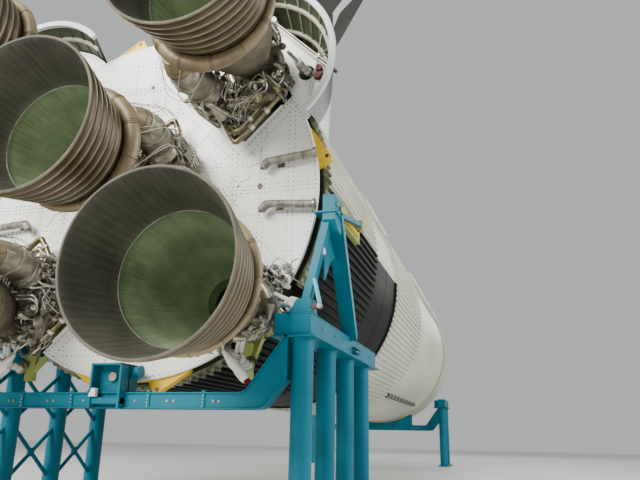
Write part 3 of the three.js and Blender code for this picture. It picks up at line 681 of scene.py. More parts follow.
# (s, radius, finish, dents): wrinkled flange, light ring, smooth cylinder, ring, crumpled elbow
EXCHANGER = [
    (1.66, 0.30, 4, 0), (1.70, 0.41, 4, 0.03), (1.76, 0.44, 4, 0.04), (1.82, 0.40, 4, 0.04), (1.88, 0.43, 4, 0.05),
    (1.94, 0.39, 4, 0.05), (2.00, 0.42, 4, 0.04), (2.04, 0.37, 3, 0), (2.07, 0.43, 3, 0), (2.10, 0.43, 2, 0),
    (2.14, 0.39, 2, 0), (2.35, 0.395, 2, 0), (2.58, 0.395, 3, 0), (2.61, 0.42, 3, 0), (2.65, 0.42, 4, 0),
    (2.68, 0.38, 4, 0.02), (2.74, 0.375, 4, 0.05), (2.82, 0.36, 4, 0.05), (2.90, 0.355, 4, 0.06),
    (2.98, 0.345, 4, 0.05), (3.06, 0.34, 0, 0.04), (3.14, 0.325, 0, 0.03), (3.22, 0.31, 0, 0.03),
    (3.34, 0.28, 0, 0.02), (3.50, 0.23, 0, 0)]
LIGHT_RING, TIED_AT = 8, (20, 22)


def exchanger_reach(s):
    return np.interp(s, (1.65, 2.8, 3.54), (1.36, 1.57, 1.50))


for bay in BAYS:
    piece, draw, angles = Piece(), random.Random(5), full_turn(RING_POINTS)
    tube(piece, [ring_point(bay, k) for k in angles], ring_thickness(angles), 20, 0, closed=True, crumple=0.012)
    for first in range(3, RING_POINTS, 6):
        for step in (0.0, 0.034, 0.068)[: draw.choice((1, 1, 2, 3))]:
            k = angles[first] + step
            along = at(bay, -math.sin(k), math.cos(k), 0) - at(bay, 0, 0, 0)
            tie(piece, ring_point(bay, k), along, ring_thickness(k) + 0.004)
    # frayed edge of the wrap, on the side towards the shield
    for i in range(26):
        k = draw.uniform(1.9, 4.4)
        r = bell(MANIFOLD_S) + draw.uniform(0.08, 0.17)
        ball(piece, around(bay, k, r, 3.47), draw.uniform(0.03, 0.05), 8, 0, crumple=0.3)
    stations, radii, kinds, dents = zip(*EXCHANGER)
    path = [at(bay, exchanger_reach(s), 0, s) for s in stations]
    tube(piece, path, radii, 36, list(kinds), crumple=dents)
    for i in TIED_AT:
        tie(piece, path[i], path[i + 1] - path[i], radii[i] + 0.008)
    bolts(piece, path[LIGHT_RING], path[LIGHT_RING + 1] - path[LIGHT_RING], 0.41, 26, 0.03, 3)
    finishes = [foil, wire, dull_steel, steel, silver_foil]
    put(f"exhaust_{bay}", piece, finishes, [f"exhaust_duct_{bay}"], body_of(bay))
print("exhaust ducts:", len(BAYS))

# %% [markdown]
# ## Turbopumps
# Beside each chamber stands the pump: an inlet at the top, two scrolls, and the turbine at the foot.
# The turned core carries flanges with bolts, a tube coiled round it makes each scroll, and curved
# ducts lead from the scrolls to the injector dome and to the ring that feeds the bell's tubes.

# %% Pump, scrolls and ducts
PUMP_REACH = 1.28
# (radius, s) down the turned core
CORE = [
    (0.21, 0.42), (0.27, 0.43), (0.27, 0.48), (0.20, 0.50), (0.20, 0.66), (0.26, 0.68), (0.26, 0.74), (0.22, 0.76),
    (0.24, 0.84), (0.36, 0.88), (0.38, 0.96), (0.37, 1.06), (0.27, 1.11), (0.24, 1.16), (0.30, 1.18), (0.30, 1.22),
    (0.26, 1.24), (0.38, 1.30), (0.40, 1.38), (0.38, 1.45), (0.28, 1.50), (0.26, 1.58), (0.33, 1.60), (0.33, 1.645)]
# (reach, side, s) along the duct to the dome and the duct to the feed ring
DOME_DUCT = [(1.24, 0.42, 0.97), (0.92, 0.60, 0.90), (0.62, 0.55, 0.66), (0.50, 0.40, 0.50)]
FEED_DUCT = [(1.28, 0.52, 1.38), (0.98, 0.76, 1.36), (0.55, 0.80, 1.18), (0.30, 0.66, 0.96)]
COIL_TURNS, COIL_POINTS = 0.93, 40


def duct(piece, bay, points, side, radius):
    """One curved duct; its path is handed back for the clamps."""
    path = smooth([at(bay, reach, across * side, s) for reach, across, s in points])
    tube(piece, path, radius, 16, 1)
    return path


def pump(bay):
    piece = Piece()
    x, _, z = at(bay, PUMP_REACH, 0, 0)
    turn(piece, [(r, GIMBAL_Y - s) for r, s in CORE], 40, x, z)
    for s, reach, count in ((0.455, 0.24, 14), (0.71, 0.235, 16), (1.20, 0.275, 18), (1.625, 0.30, 20)):
        bolts(piece, (x, GIMBAL_Y - s, z), (0, -1, 0), reach, count, 0.032, 2)
    for s, reach, fat, thin, start in ((0.97, 0.37, 0.15, 0.07, 0.6), (1.38, 0.39, 0.16, 0.08, 3.5)):
        bearings = np.linspace(start, start + 2 * math.pi * COIL_TURNS, COIL_POINTS)
        coil = [around(bay, k, reach, s, PUMP_REACH) for k in bearings]
        tube(piece, coil, np.linspace(fat, thin, COIL_POINTS), 16)
    for side in (1, -1):
        ducts = [(duct(piece, bay, points, side, r), r) for points, r in ((DOME_DUCT, 0.085), (FEED_DUCT, 0.095))]
        for path, r in ducts:
            for i in (4, 9, 14):
                way = path[i + 1] - path[i]
                tube(piece, [path[i], path[i] + 0.045 * way / np.linalg.norm(way)], r + 0.03, 20, 2)
        foot = at(bay, 0.80, 0.74 * side, 1.30)
        tube(piece, [foot, foot + (0, 0.30, 0)], [0.115, 0.10], 20, 2)
    gas = at(bay, 1.60, 0.46, 1.28)
    ball(piece, gas, 0.17, 20, 3)
    tube(piece, smooth([gas, at(bay, 1.64, 0.36, 1.48), at(bay, 1.48, 0.20, 1.58)]), 0.10, 14, 3)
    # the ring that feeds the wall's tubes, round the chamber
    tube(piece, [around(bay, k, 0.70, 0.95) for k in full_turn(48)], 0.125, 14, 1, closed=True)
    finishes = [dull_steel, steel, bright_tube, cream]
    put(f"pump_{bay}", piece, finishes, [f"turbopump_{bay}"], body_of(bay))


for bay in BAYS:
    pump(bay)
print("turbopumps:", len(BAYS))

# %% [markdown]
# Valves, hoses, sensing tubes and wires crowd round the pump. Their exact runs can't be read off any
# picture, so they are drawn by chance, always from the same seed, on a shell that lies just outside
# the machinery: dark castings first, then valves with hexagon ends, hoses in bundles, and a few
# loose pale wires that hang from the ring. The numbers after each shape are its finish: 0 dull steel,
# 1 cream, 2 bright, 3 grey wrap, 4 steel, 5 browned, 6 golden casting, 7 golden line.

# %% Valves and lumps
def beside_pump(bay, bearing, s, gap):
    """A point beside the pump and its duct; bearing 0 points away from the engine."""
    return around(bay, bearing, (0.42 if s < 1.6 else 0.45) + gap, s, exchanger_reach(s))


def round_chamber(bay, bearing, s, gap):
    """A point just outside the chamber's wall; bearing 0 points at the pump."""
    return around(bay, bearing, (0.60 if s < 1.45 else bell(s) + 0.12) + gap, s)


def any_way(draw, low, high):
    """A direction drawn by chance, with its y between low and high."""
    return draw.uniform(-1, 1), draw.uniform(low, high), draw.uniform(-1, 1)


def valve(piece, draw, foot, way, size):
    """A stubby cylinder with a hexagon collar at both ends."""
    way = np.asarray(way, float) / np.linalg.norm(way)
    long = size * draw.uniform(2.6, 4.2)
    tube(piece, [foot, foot + long * way], size, 12, draw.choice((0, 1, 2, 4)))
    for t in (0.0, 0.82):
        start = foot + t * long * way
        tube(piece, [start, start + 0.18 * long * way], size * 1.3, 6, draw.choice((1, 2)))
    tube(piece, [foot + long * way, foot + 1.4 * long * way], size * 0.45, 8, 2)


def lump(piece, draw, centre, size, finish):
    """A dented casting or a parcel of wrap."""
    t = np.linspace(-1, 1, 8)
    tilt = np.array([draw.uniform(-0.6, 0.6), 1, draw.uniform(-0.6, 0.6)])
    path = [centre + 1.5 * size * k * tilt for k in t]
    tube(piece, path, 0.75 * size * np.sqrt(1.05 - t**6), 10, finish, crumple=0.12)


print("valves and lumps can be drawn")

# %% [markdown]
# Beside each chamber lies the casting of the main valves, with small parts crowded on it and two
# polished lines that turn a corner. The outer engines have some more castings on the outward side.

# %% Beside the chamber
CASTING = [(0.80, 0.70, 0.84), (0.68, 0.79, 0.95), (0.52, 0.90, 1.10), (0.38, 0.98, 1.22), (0.29, 1.03, 1.32)]
REGULATORS = [(1.02, 0.72, 1.22, 0.20), (0.66, 0.98, 1.42, 0.18), (0.12, 1.02, 1.10, 0.17)]


def golden_lines(piece, bay, way, turn_at):
    """Two polished lines side by side that turn a corner under the pump."""
    for offset in (0.12, 0.34):
        far = at(bay, 0.25, way * (0.82 + offset), 0.96)
        corner = at(bay, turn_at + offset, way * (0.84 + offset), 0.96)
        near = at(bay, turn_at - 0.05 + 0.3 * offset, way * 0.30, 0.86)
        bend = [far, corner + 0.12 * (far - corner), corner + 0.25 * (near - corner), near]
        tube(piece, smooth(bend, 4), 0.078, 14, 7)
        for end in (far, near):
            for t in (0.25, 0.6):
                tube(piece, [end + t * (corner - end), end + (t + 0.07) * (corner - end)], 0.105, 10, 2)


def beside_chamber(piece, bay, draw, way=1):
    """The main valves' casting beside the chamber, with regulators, valves and lines crowded on it."""
    span, pick = draw.uniform, draw.choice

    def somewhere(reach, side, s):
        return at(bay, span(*reach), way * span(*side), span(*s))

    casting = [at(bay, reach, way * side, s) for reach, side, s in CASTING]
    tube(piece, casting, [0.19, 0.25, 0.22, 0.25, 0.19], 22, 0, crumple=0.04)
    for i in (1, 3):
        bolts(piece, casting[i], casting[i + 1] - casting[i], 0.245, 16, 0.03, 2)
    for reach, side, s, r in REGULATORS:
        centre = at(bay, reach, way * side, s)
        ball(piece, centre, r, 20, 6)
        tie(piece, centre, (1, 0.3, 0.2), r + 0.004, 0.010, 2)
    for i in range(16):
        foot = somewhere((0.95, 1.5), (0.5, 0.85), (0.75, 1.25))
        lump(piece, draw, foot, span(0.05, 0.10), pick((0, 3, 5, 5, 6)))
        foot = somewhere((0.8, 1.5), (0.5, 0.9), (0.95, 1.5))
        valve(piece, draw, foot, any_way(draw, -0.8, 0.4), span(0.025, 0.045))
    # thin pale wires that sag from one part to the next
    for i in range(26):
        a, b = (somewhere((0.2, 1.6), (0.55, 1.1), (0.9, 1.7)) for _ in range(2))
        mid = (a + b) / 2 + (span(-0.1, 0.1), -span(0.08, 0.25), span(-0.15, 0.05))
        tube(piece, smooth([a, mid, b], 7), pick((0.008, 0.010, 0.013)), 5, pick((1, 1, 1, 2)))
    first, last, top = (0.35, 1.25, 1.05) if bay.startswith("lower") and way == 1 else (0.35, 1.85, 0.66)
    for i in range(34):
        bearing, s = span(first, last), span(top, 1.9)
        foot = round_chamber(bay, way * bearing, s, span(0.10, 0.50))
        if i % 2:
            lump(piece, draw, foot, span(0.05, 0.10), pick((0, 0, 3, 4, 5, 6)))
        else:
            valve(piece, draw, foot, any_way(draw, -0.8, 0.8), span(0.028, 0.055))
    for i in range(26):
        bearing, s = span(first, last), span(top, 1.7)
        onward, drop = span(-0.5, 0.5), span(-0.3, 0.5)
        path = []
        for turned, down, gap in ((0, 0, 0.05), (0, 0.1, 0.58), (0.7, 0.8, 0.60), (1, 1, 0.15)):
            kept = min(max(bearing + onward * turned, first), last)
            path.append(round_chamber(bay, way * kept, max(s + drop * down, top), gap))
        tube(piece, smooth(path, 5), pick((0.012, 0.016, 0.022, 0.03)), 7, pick((1, 2, 2, 0, 4, 5)))
    golden_lines(piece, bay, way, 1.58 if way == 1 else 1.1)


def outward_parts(piece, bay, draw):
    """Castings and lines on the outward side, between the two actuators."""
    span, pick = draw.uniform, draw.choice
    x, z, pump_at = BAYS[bay]
    outward = math.atan2(z, x) - math.radians(pump_at)
    for i in range(22):
        bearing, s = outward + span(-0.36, 0.36), span(0.95, 1.9)
        foot = round_chamber(bay, bearing, s, span(0.02, 0.12))
        lump(piece, draw, foot, span(0.07, 0.12), pick((5, 5, 0, 0, 4)))
        a, b = (round_chamber(bay, outward + span(-0.38, 0.38), span(0.85, 1.9), g) for g in (0.2, 0.25))
        tube(piece, [a, (a + b) / 2 + 0.06, b], pick((0.014, 0.02)), 6, pick((1, 2, 4)))


print("parts of the casting:", len(CASTING), "points,", len(REGULATORS), "regulators")

# %% [markdown]
# All of it comes together in one piece for each engine. The order of the draws matters: one more draw
# anywhere would move all the small parts after it.

# %% Round the pump
def hoses(piece, bay, draw):
    """Hoses in bundles, from the pump's top to its foot and on to the chamber."""
    span, pick = draw.uniform, draw.choice
    for i in range(5):
        bearing, swing = span(-1.8, 1.8), span(-1.1, 1.1)
        low, high, thick = span(0.4, 0.8), span(1.5, 2.1), pick((0.018, 0.024, 0.030))
        finish = pick((1, 2, 3, 4))
        for k in range(pick((2, 3, 4))):
            from_here, path = bearing + 2.6 * thick * k / 0.5, []
            for t in (0, 0.3, 0.65, 1):
                gap = 0.03 + 0.16 * math.sin(3.1 * t)
                path.append(beside_pump(bay, from_here + swing * t, low + (high - low) * t, gap))
            path = smooth(path)
            tube(piece, path, thick, 7, finish)
            for j in (0, len(path) // 2, len(path) - 2):
                tube(piece, [path[j], path[j] + 0.5 * (path[j + 1] - path[j])], thick * 1.7, 6, 2)


def clutter(bay, seed):
    draw = random.Random(seed)
    span, pick = draw.uniform, draw.choice
    piece = Piece()
    for i in range(16):
        bearing, s = span(-2.0, 2.0), span(0.45, 1.75)
        foot = beside_pump(bay, bearing, s, span(-0.12, 0.02))
        lump(piece, draw, foot, span(0.10, 0.17), pick((5, 5, 4, 0, 0, 3)))
    for i in range(20):
        bearing, s = span(-2.1, 2.1), span(0.5, 1.9)
        foot = beside_pump(bay, bearing, s, span(-0.02, 0.06))
        way = beside_pump(bay, bearing + span(-1, 1), s + span(-0.5, 0.5), span(0.0, 0.3)) - foot
        valve(piece, draw, foot, way + (0.01, 0, 0), span(0.035, 0.065))
    hoses(piece, bay, draw)
    # single pipes with a tight bend
    for i in range(14):
        bearing, s = span(-2.0, 2.0), span(0.45, 1.6)
        turned, lower = bearing + span(-0.9, 0.9), s + span(0.1, 0.8)
        path = [beside_pump(bay, *spot) for spot in
                ((bearing, s, 0), (bearing, s, 0.14), (turned, lower, 0.16), (turned, lower, 0))]
        tube(piece, smooth(path, 5), pick((0.014, 0.02, 0.03)), 7, pick((0, 1, 2, 2, 3)))
    beside_chamber(piece, bay, draw)
    if bay == "lower_left":
        beside_chamber(piece, bay, draw, -1)
    if bay != "centre":
        outward_parts(piece, bay, draw)
    # loose wires from the ring
    for i in range(7):
        k = span(-1.2, 1.2)
        a = around(bay, k, bell(MANIFOLD_S) + 0.38, 3.45)
        b = beside_pump(bay, 1.4 * k, span(0.9, 1.7), 0.05)
        mid = beside_pump(bay, 1.3 * k, 2.5, span(0.08, 0.3))
        tube(piece, smooth([a, mid, b], 9), 0.009, 5, 1)
    # small castings and wrap between the golden lines and the edge of the opening
    for i in range(16):
        foot = at(bay, span(-0.35, 0.30), span(0.88, 1.12), span(0.62, 1.05))
        lump(piece, draw, foot, span(0.06, 0.10), pick((3, 3, 0, 4)))
    finishes = [dull_steel, cream, bright_tube, grey_wrap, steel, brown_metal, gold_casting, gold_line]
    if bay == "lower_left":
        # polished pipes run down over this pump, its cream parts and golden castings take dull steel and its wrap
        # the brown metal finish
        for i in range(12):
            bearing, s, swing = span(-1.7, 1.7), span(0.45, 1.0), span(-0.6, 0.6)
            path = [beside_pump(bay, bearing + swing * t, s + 0.95 * t, 0.05 + 0.10 * math.sin(3 * t))
                    for t in (0, 0.3, 0.7, 1)]
            tube(piece, smooth(path), pick((0.020, 0.030, 0.040)), 8, 2)
        finishes[1], finishes[3], finishes[6] = dull_steel, brown_metal, dull_steel
    put(f"small_lines_{bay}", piece, finishes, body=body_of(bay))


for seed, bay in enumerate(BAYS, 31):
    clutter(bay, seed)
print("small parts drawn round", len(BAYS), "engines")

# %% [markdown]
# ## Mounts and actuators
# Each engine hangs on a pad with two ears. Two arms reach out of the bay to the actuators, which push
# on the chamber's own arms: a fat cylinder, a polished rod, and hoses tied along it.

# %% Engine mounts
ANCHOR_OUT, EYE_OUT, EYE_S = 1.3, 1.02, 1.7
# the cylinder: (share of the way to the engine's arm, radius)
CYLINDER = [(0, 0.085), (0.02, 0.11), (0.04, 0.11), (0.07, 0.095), (0.38, 0.095), (0.41, 0.11), (0.44, 0.11),
            (0.45, 0.08)]


def centre_mount(piece):
    turn(piece, [(0.36, 0.11), (0.42, 0.13), (0.42, 0.22), (0.36, 0.26), (0.36, 0.90), (0.48, 0.99)], 40)
    for angle in BAY_ANGLES:
        for (r0, y0), (r1, y1), thick, finish in (((0.34, 0.5), (1.06, 0.93), 0.075, 0),
                                                  ((0.95, 0.86), (1.10, 0.97), 0.12, 1)):
            (xa, za), (xb, zb) = spin(r0, 0, angle), spin(r1, 0, angle)
            tube(piece, [(xa, y0, za), (xb, y1, zb)], thick, 16, finish)


def actuator(piece, x, z, dx, dz):
    """A strut, and the cylinder that pushes on the engine's arm."""
    def out(reach, y):
        return np.array([x + reach * dx, y, z + reach * dz])

    anchor, eye, root = out(ANCHOR_OUT, 0.0), out(EYE_OUT, GIMBAL_Y - EYE_S), out(0.3, 0.9)
    beam(piece, root, anchor + (0, 0.05, 0), 0.15, 0.15, (dz, 0, dx) if dx else (1, 0, 0))
    collar = anchor + 0.12 * (root - anchor)
    tube(piece, [collar, collar + 0.05 * (root - anchor)], 0.14, 8, 4)
    way = eye - anchor
    tube(piece, [anchor + t * way for t, _ in CYLINDER], [r for _, r in CYLINDER], 20, 3)
    tube(piece, [anchor + t * way for t in (0.44, 0.80)], 0.048, 16, 2)
    ball(piece, anchor, 0.125, 16, 1)
    for t in (0.15, 0.30):
        tie(piece, anchor + t * way, way, 0.102, 0.008, 1)
    beside = two_across(way)[0]
    hose = [anchor + t * way + (0.12 + 0.03 * math.sin(9 * t)) * beside for t in (0.02, 0.12, 0.22, 0.33, 0.42)]
    tube(piece, smooth(hose), 0.022, 8, 1)


for bay, (x, z, _) in BAYS.items():
    piece = Piece()
    finishes = [primer if bay.startswith("lower") else dark_primer, steel, bright_tube, wrapped, dark_primer]
    if bay == "centre":
        centre_mount(piece)
        finishes = [primer, steel]
    else:
        turn(piece, [(0.30, 0.70), (0.40, 0.72), (0.42, 0.76), (0.42, 0.93), (0.46, 0.99)], 40, x, z)
        for side in (1, -1):
            block(piece, (x + side * 0.24, x + side * 0.36), (GIMBAL_Y - 0.12, 0.73), (z - 0.14, z + 0.14))
        bolts(piece, (x, 0.74, z), (0, -1, 0), 0.38, 16, 0.04, 1)
        for dx, dz in two_ways(x, z):
            actuator(piece, x, z, dx, dz)
    put(f"mount_{bay}", piece, finishes, [f"engine_mount_{bay}"])
print("mounts:", len(BAYS))

# %% [markdown]
# The lower bays have no fairing, so their posts, hydraulic lines and wrapped couplings are in plain
# view beside the nozzles: an olive post each, pale rods that meet in a wrapped knuckle, and a white
# sleeve with a dark red cap that hangs below. The right one also has grey and brown castings. Points
# are given for the right side, and place() moves them to the side that is being drawn.

# %% Open parts of the lower bays
# the sleeve: (share of its length, radius)
SLEEVE = [(0, 0.04), (0.12, 0.07), (0.25, 0.10), (0.4, 0.125), (0.55, 0.115), (0.7, 0.13), (0.85, 0.115),
          (0.94, 0.08)]


def right_castings(piece, place):
    """The castings fixed beside the right-hand engine, with wires, lines and valves over them."""
    draw = random.Random(7)
    span, pick = draw.uniform, draw.choice

    def allowed(x, z, room):
        return x - 3.55 < 1.3 * (z + 2.95) + room

    for i in range(90):
        x, z = span(3.42, 4.40), span(-3.10, -2.15)
        if allowed(x, z, 0.35):
            lump(piece, draw, place(x, span(-0.34, -0.10), z), span(0.035, 0.085), pick((5, 5, 5, 3, 6, 6)))
    for i in range(50):
        x, z = span(3.45, 4.40), span(-3.10, -2.15)
        a = place(x, -0.25, z)
        b = a + (span(-0.3, 0.3), span(-0.2, 0.1), span(-0.3, 0.3))
        if allowed(x, z, 0.30):
            tube(piece, smooth([a, (a + b) / 2 - (0, 0.12, 0), b], 5), pick((0.012, 0.018)), 6, pick((5, 3, 2)))
    for i in range(22):
        a, b = (place(span(3.45, 4.3), span(-0.35, -0.1), span(-3.9, -2.5)) for _ in range(2))
        mid = (a + b) / 2 + (0, span(-0.15, 0.05), span(-0.1, 0.1))
        tube(piece, smooth([a, mid, b], 5), pick((0.014, 0.02, 0.026)), 6, pick((2, 3, 5, 1)))
    for i in range(9):
        foot = place(span(3.5, 4.3), span(-0.3, -0.1), span(-3.9, -2.6))
        valve(piece, draw, foot, any_way(draw, -0.6, 0.3), span(0.03, 0.055))


def open_parts(name, flip):
    piece = Piece()

    def place(x, y, z):
        return np.array((flip * x, y, z))

    beam(piece, place(3.10, 0.26, -3.95), place(3.14, 0.26, -4.86), 0.26, 0.16, (0, 1, 0))
    tube(piece, [place(3.10, 0.26, -3.86), place(3.10, 0.26, -3.98)], 0.19, 12, 4)
    bolts(piece, place(3.10, 0.26, -3.86), (0, 0, 1), 0.15, 8, 0.04, 1)
    beam(piece, place(2.62, 0.26, -4.16), place(3.06, 0.26, -4.62), 0.12, 0.12, (0, 1, 0))
    knuckle = place(4.40, -0.34, -3.10)
    tube(piece, [place(3.70, -0.34, -2.76), knuckle], [0.05, 0.06], 12, 3)
    rod = [place(3.62, -0.36, -3.37), place(3.76, -0.36, -3.32), place(4.06, -0.35, -3.2), knuckle]
    tube(piece, rod, [0.055, 0.075, 0.075, 0.04], 16, 2)
    parcel = [knuckle + (flip * dx, 0, dz) for dx, dz in ((-0.1, 0), (0, 0), (0.18, -0.04), (0.34, -0.06))]
    tube(piece, parcel, [0.08, 0.13, 0.12, 0.07], 14, 3, crumple=0.12)
    for dx in (0.0, 0.11):
        line = [(3.62, -0.4, -3.42), (3.46, -0.5, -3.66), (3.36, -0.6, -4.0), (3.28, -0.6, -4.42)]
        tube(piece, smooth([place(x - dx, y, z) for x, y, z in line]), 0.026, 8, 2)
        tube(piece, [place(3.34 - dx, -0.6, -4.06), place(3.29 - dx, -0.6, -4.32)], 0.05, 10, 3)
    # on the left the engine's own parts fill the bay
    if flip == 1:
        right_castings(piece, place)
    # the white sleeve with its cap
    a, b = place(2.90, -0.72, -4.28), place(3.56, -0.72, -5.02)
    spots = [a + t * (b - a) for t, _ in SLEEVE]
    tube(piece, spots, [r for _, r in SLEEVE], 14, 3, crumple=0.22)
    tube(piece, [spots[-2] + 0.02 * (b - a), b], 0.085, 14, 7)
    for dx in (-0.1, 0.1):
        tube(piece, smooth([a + (flip * dx, 0, 0.25), a + (0, 0, 0.05), a + 0.2 * (b - a)]), 0.022, 8, 3)
    finishes = [primer, steel, bright_tube, wrapped, dark_primer, grey_wrap, brown_metal, red_cap]
    put(f"open_parts_{name}", piece, finishes)


for side, flip in SIDES:
    open_parts(f"lower_{side}", flip)
print("open parts at the lower bays")

# %% [markdown]
# ## Heat shield
# A flat wall of white panels closes the stage round the engines. The bays are cut out of a disc with
# rounded cutters. Rows of small dark fasteners follow every panel edge, thin dark strips are the open
# seams, and a folded sheet lines the inner edge of each outer bay.

# %% The plate and its openings
SHIELD_R, SHIELD_T, ROUND_SIDES = 4.92, 0.1, 192
SLOT_IN, SLOT_OUT, SLOT_HALF, CENTRE_HALF = 2.73, 6.4, 1.07, 1.3
CORNER_STEPS = 6


def rounded(half_u, half_v, corner):
    """The outline of a rectangle with round corners."""
    out = []
    for su, sv, first in ((1, 1, 0), (-1, 1, 90), (-1, -1, 180), (1, -1, 270)):
        for k in range(CORNER_STEPS + 1):
            a = math.radians(first + 90 * k / CORNER_STEPS)
            u, v = su * (half_u - corner), sv * (half_v - corner)
            out.append((u + corner * math.cos(a), v + corner * math.sin(a)))
    return out


def prism(outline, y0, y1, degrees=0.0, out=0.0):
    """An outline moved outwards along a direction and drawn from y0 to y1, as a piece of its own."""
    piece = Piece()
    slab(piece, [(u + out, v) for u, v in outline], y0, y1, degrees)
    return piece


def bay_cutters(first, last, half, corner, depth):
    """Cutters for the four outer bays, from one distance to another, and for the centre bay."""
    reach = (last - first) / 2
    out = [prism(rounded(reach, half, corner), -1, depth, k, first + reach) for k in BAY_ANGLES]
    return [*out, prism(rounded(CENTRE_HALF, CENTRE_HALF, corner), -1, depth, 45)]


plate = Piece()
turn(plate, [(SHIELD_R - 0.02, 0.0), (SHIELD_R, 0.02), (SHIELD_R, SHIELD_T)], ROUND_SIDES)
shield_mesh = carved(plate, bay_cutters(SLOT_IN, SLOT_OUT, SLOT_HALF, 0.3, 2), "shield_plate")
put("shield_plate", shield_mesh, [shield_white], ["heat_shield"])
print("shield faces:", len(shield_mesh.polygons))

# %% [markdown]
# Fasteners are six-sided studs in rows. A stud is drawn only where there is plate under it, so a row
# can be given straight across an opening.

# %% Fasteners
QUARTERS = (0, 90, 180, 270)


def in_shield(x, z, gap=0.05):
    if math.hypot(x, z) > SHIELD_R - gap:
        return False
    for k in BAY_ANGLES:
        u, v = spin(x, z, -k)
        if u > SLOT_IN - gap and abs(v) < SLOT_HALF + gap:
            return False
    u, v = spin(x, z, -45)
    return max(abs(u), abs(v)) > CENTRE_HALF + gap


def stud(piece, x, z):
    if in_shield(x, z):
        tube(piece, [(x, 0.01, z), (x, -0.012, z)], 0.014, 6)


def dots(piece, degrees, start, end, pitch=0.12):
    """A row of studs between two points, each (outwards, across) along a direction."""
    a, b = np.array(spin(*start, degrees)), np.array(spin(*end, degrees))
    count = max(1, int(np.linalg.norm(b - a) / pitch))
    for i in range(count + 1):
        stud(piece, *(a + (b - a) * i / count))


fasteners = Piece()
for bay_angle, quarter in zip(BAY_ANGLES, QUARTERS):
    for out in (0.09, 0.32):
        inner, half = SLOT_IN - out, SLOT_HALF + out
        dots(fasteners, bay_angle, (inner, -half), (inner, half))
        for v in (-half, half):
            dots(fasteners, bay_angle, (5.0, v), (inner, v))
    for across in (-0.95, -0.5, 0.0, 0.5, 0.95):
        dots(fasteners, bay_angle, (1.35, across), (2.75, across), 0.14)
    for out in (1.62, 2.05):
        dots(fasteners, bay_angle, (out, -2.2), (out, 2.2), 0.13)
    for across in (-0.72, -0.1, 0.1, 0.72):
        dots(fasteners, quarter, (1.9, across), (4.9, across), 0.13)
    for out in (2.5, 2.65, 3.3, 3.45, 4.1, 4.25):
        dots(fasteners, quarter, (out, -2.4), (out, 2.4), 0.13)
for i in range(240):
    a = 2 * math.pi * i / 240
    stud(fasteners, 4.84 * math.cos(a), 4.84 * math.sin(a))
put("shield_fasteners", fasteners, [dark])
print("fasteners:", fasteners.count // 12)

# %% [markdown]
# The seams are strips a few millimetres thick, straight where panels meet and bent where a cover has
# been cut to fit. Round spots and one diamond mark the places of capped holes.

# %% Seams and spots
SEAM_RISE = 0.004
# (start, end, width); a point is (outwards, across) along a quarter
QUARTER_SEAMS = [((2.57, -0.65), (2.57, 0.65), 0.012), ((2.57, 0.0), (4.85, 0.0), 0.008),
                 ((3.37, -0.95), (3.37, 0.95), 0.008)]
CUT_LINES = [[(0.31, 3.15), (0.31, 2.78), (0.18, 2.70), (-0.25, 2.62)], [(3.07, 0.46), (2.98, 0.30), (2.70, 0.22)],
             [(-2.6, -0.16), (-2.9, -0.25), (-3.1, -0.6)], [(2.95, 0.62), (3.3, 0.75), (3.35, 1.2)]]
SPOTS = [(-0.15, 3.47, 0.065), (2.11, 0.06, 0.06), (-0.24, 2.90, 0.03), (2.72, 0.12, 0.03), (-3.3, 0.1, 0.06),
         (0.1, -3.4, 0.06)]


def seam(piece, a, b, width):
    y = -SEAM_RISE / 2
    beam(piece, (a[0], y, a[1]), (b[0], y, b[1]), SEAM_RISE, width, (0, 1, 0))


seams = Piece()
for bay_angle, quarter in zip(BAY_ANGLES, QUARTERS):
    for a, b, width in QUARTER_SEAMS:
        seam(seams, spin(*a, quarter), spin(*b, quarter), width)
    seam(seams, spin(1.35, 0, bay_angle), spin(2.75, 0, bay_angle), 0.008)
for points in CUT_LINES:
    for a, b in zip(points, points[1:]):
        seam(seams, a, b, 0.022)
put("shield_seams", seams, [dark])

spots = Piece()
for x, z, r in SPOTS:
    tube(spots, [(x, 0.01, z), (x, -0.01, z)], r, 20)
slab(spots, [(3.33, 0.17), (3.42, 0.07), (3.33, -0.03), (3.24, 0.07)], -0.004, -0.010)
put("shield_spots", spots, [spot])
print("seams:", seams.count // 8, "spots:", len(SPOTS))

# %% [markdown]
# The folded sheet along each bay's inner edge leans out towards the engine and catches the light.

# %% Folded edges of the bays
def fold(piece, angle):
    """A thin sheet that follows the bay's edge: wide and leaning along the inner side, narrow beside."""
    corner, inner, half = 0.3, SLOT_IN - 0.01, SLOT_HALF + 0.01
    path = [(4.4, -half, 0, 1)]
    for sign, first in ((-1, 270), (1, 180)):
        for k in range(7):
            a = math.radians(first - 15 * k)
            c, d = math.cos(a), math.sin(a)
            path.append((inner + corner + corner * c, sign * (half - corner) + corner * d, -c, -d))
    path.append((4.4, half, 0, -1))
    rings = []
    for u, v, nu, nv in path:
        share = max(0.0, nu)
        lean, drop, thick = 0.03 + 0.14 * share, 0.05 + 0.12 * share, 0.016
        ring = []
        for du, y in ((0, 0.05), (lean, -drop), (lean - thick, -drop), (-thick, 0.05)):
            x, z = spin(u + nu * du, v + nv * du, angle)
            ring.append((x, y, z))
        rings.append(ring)
    skin_rings(piece, rings)


folds = Piece()
for angle in BAY_ANGLES:
    fold(folds, angle)
put("bay_folds", folds, [shield_white])
print("folded edges:", len(BAY_ANGLES))

# %% [markdown]
# ## Painted skin
# The stage is white with a black roll pattern: seen from the side, everything below one line is black
# from the shield to the first tank's end. The paint reads its own place on the stage, so one material
# covers both halves. Black paint is glossier than white, and both carry grime in long streaks.

# %% Roll pattern
PAINT_LINE_Z, BLACK_END_Y, PRIMER_END_Y, SHADED_WALL_R = 0.12, 11.85, 0.72, 4.97


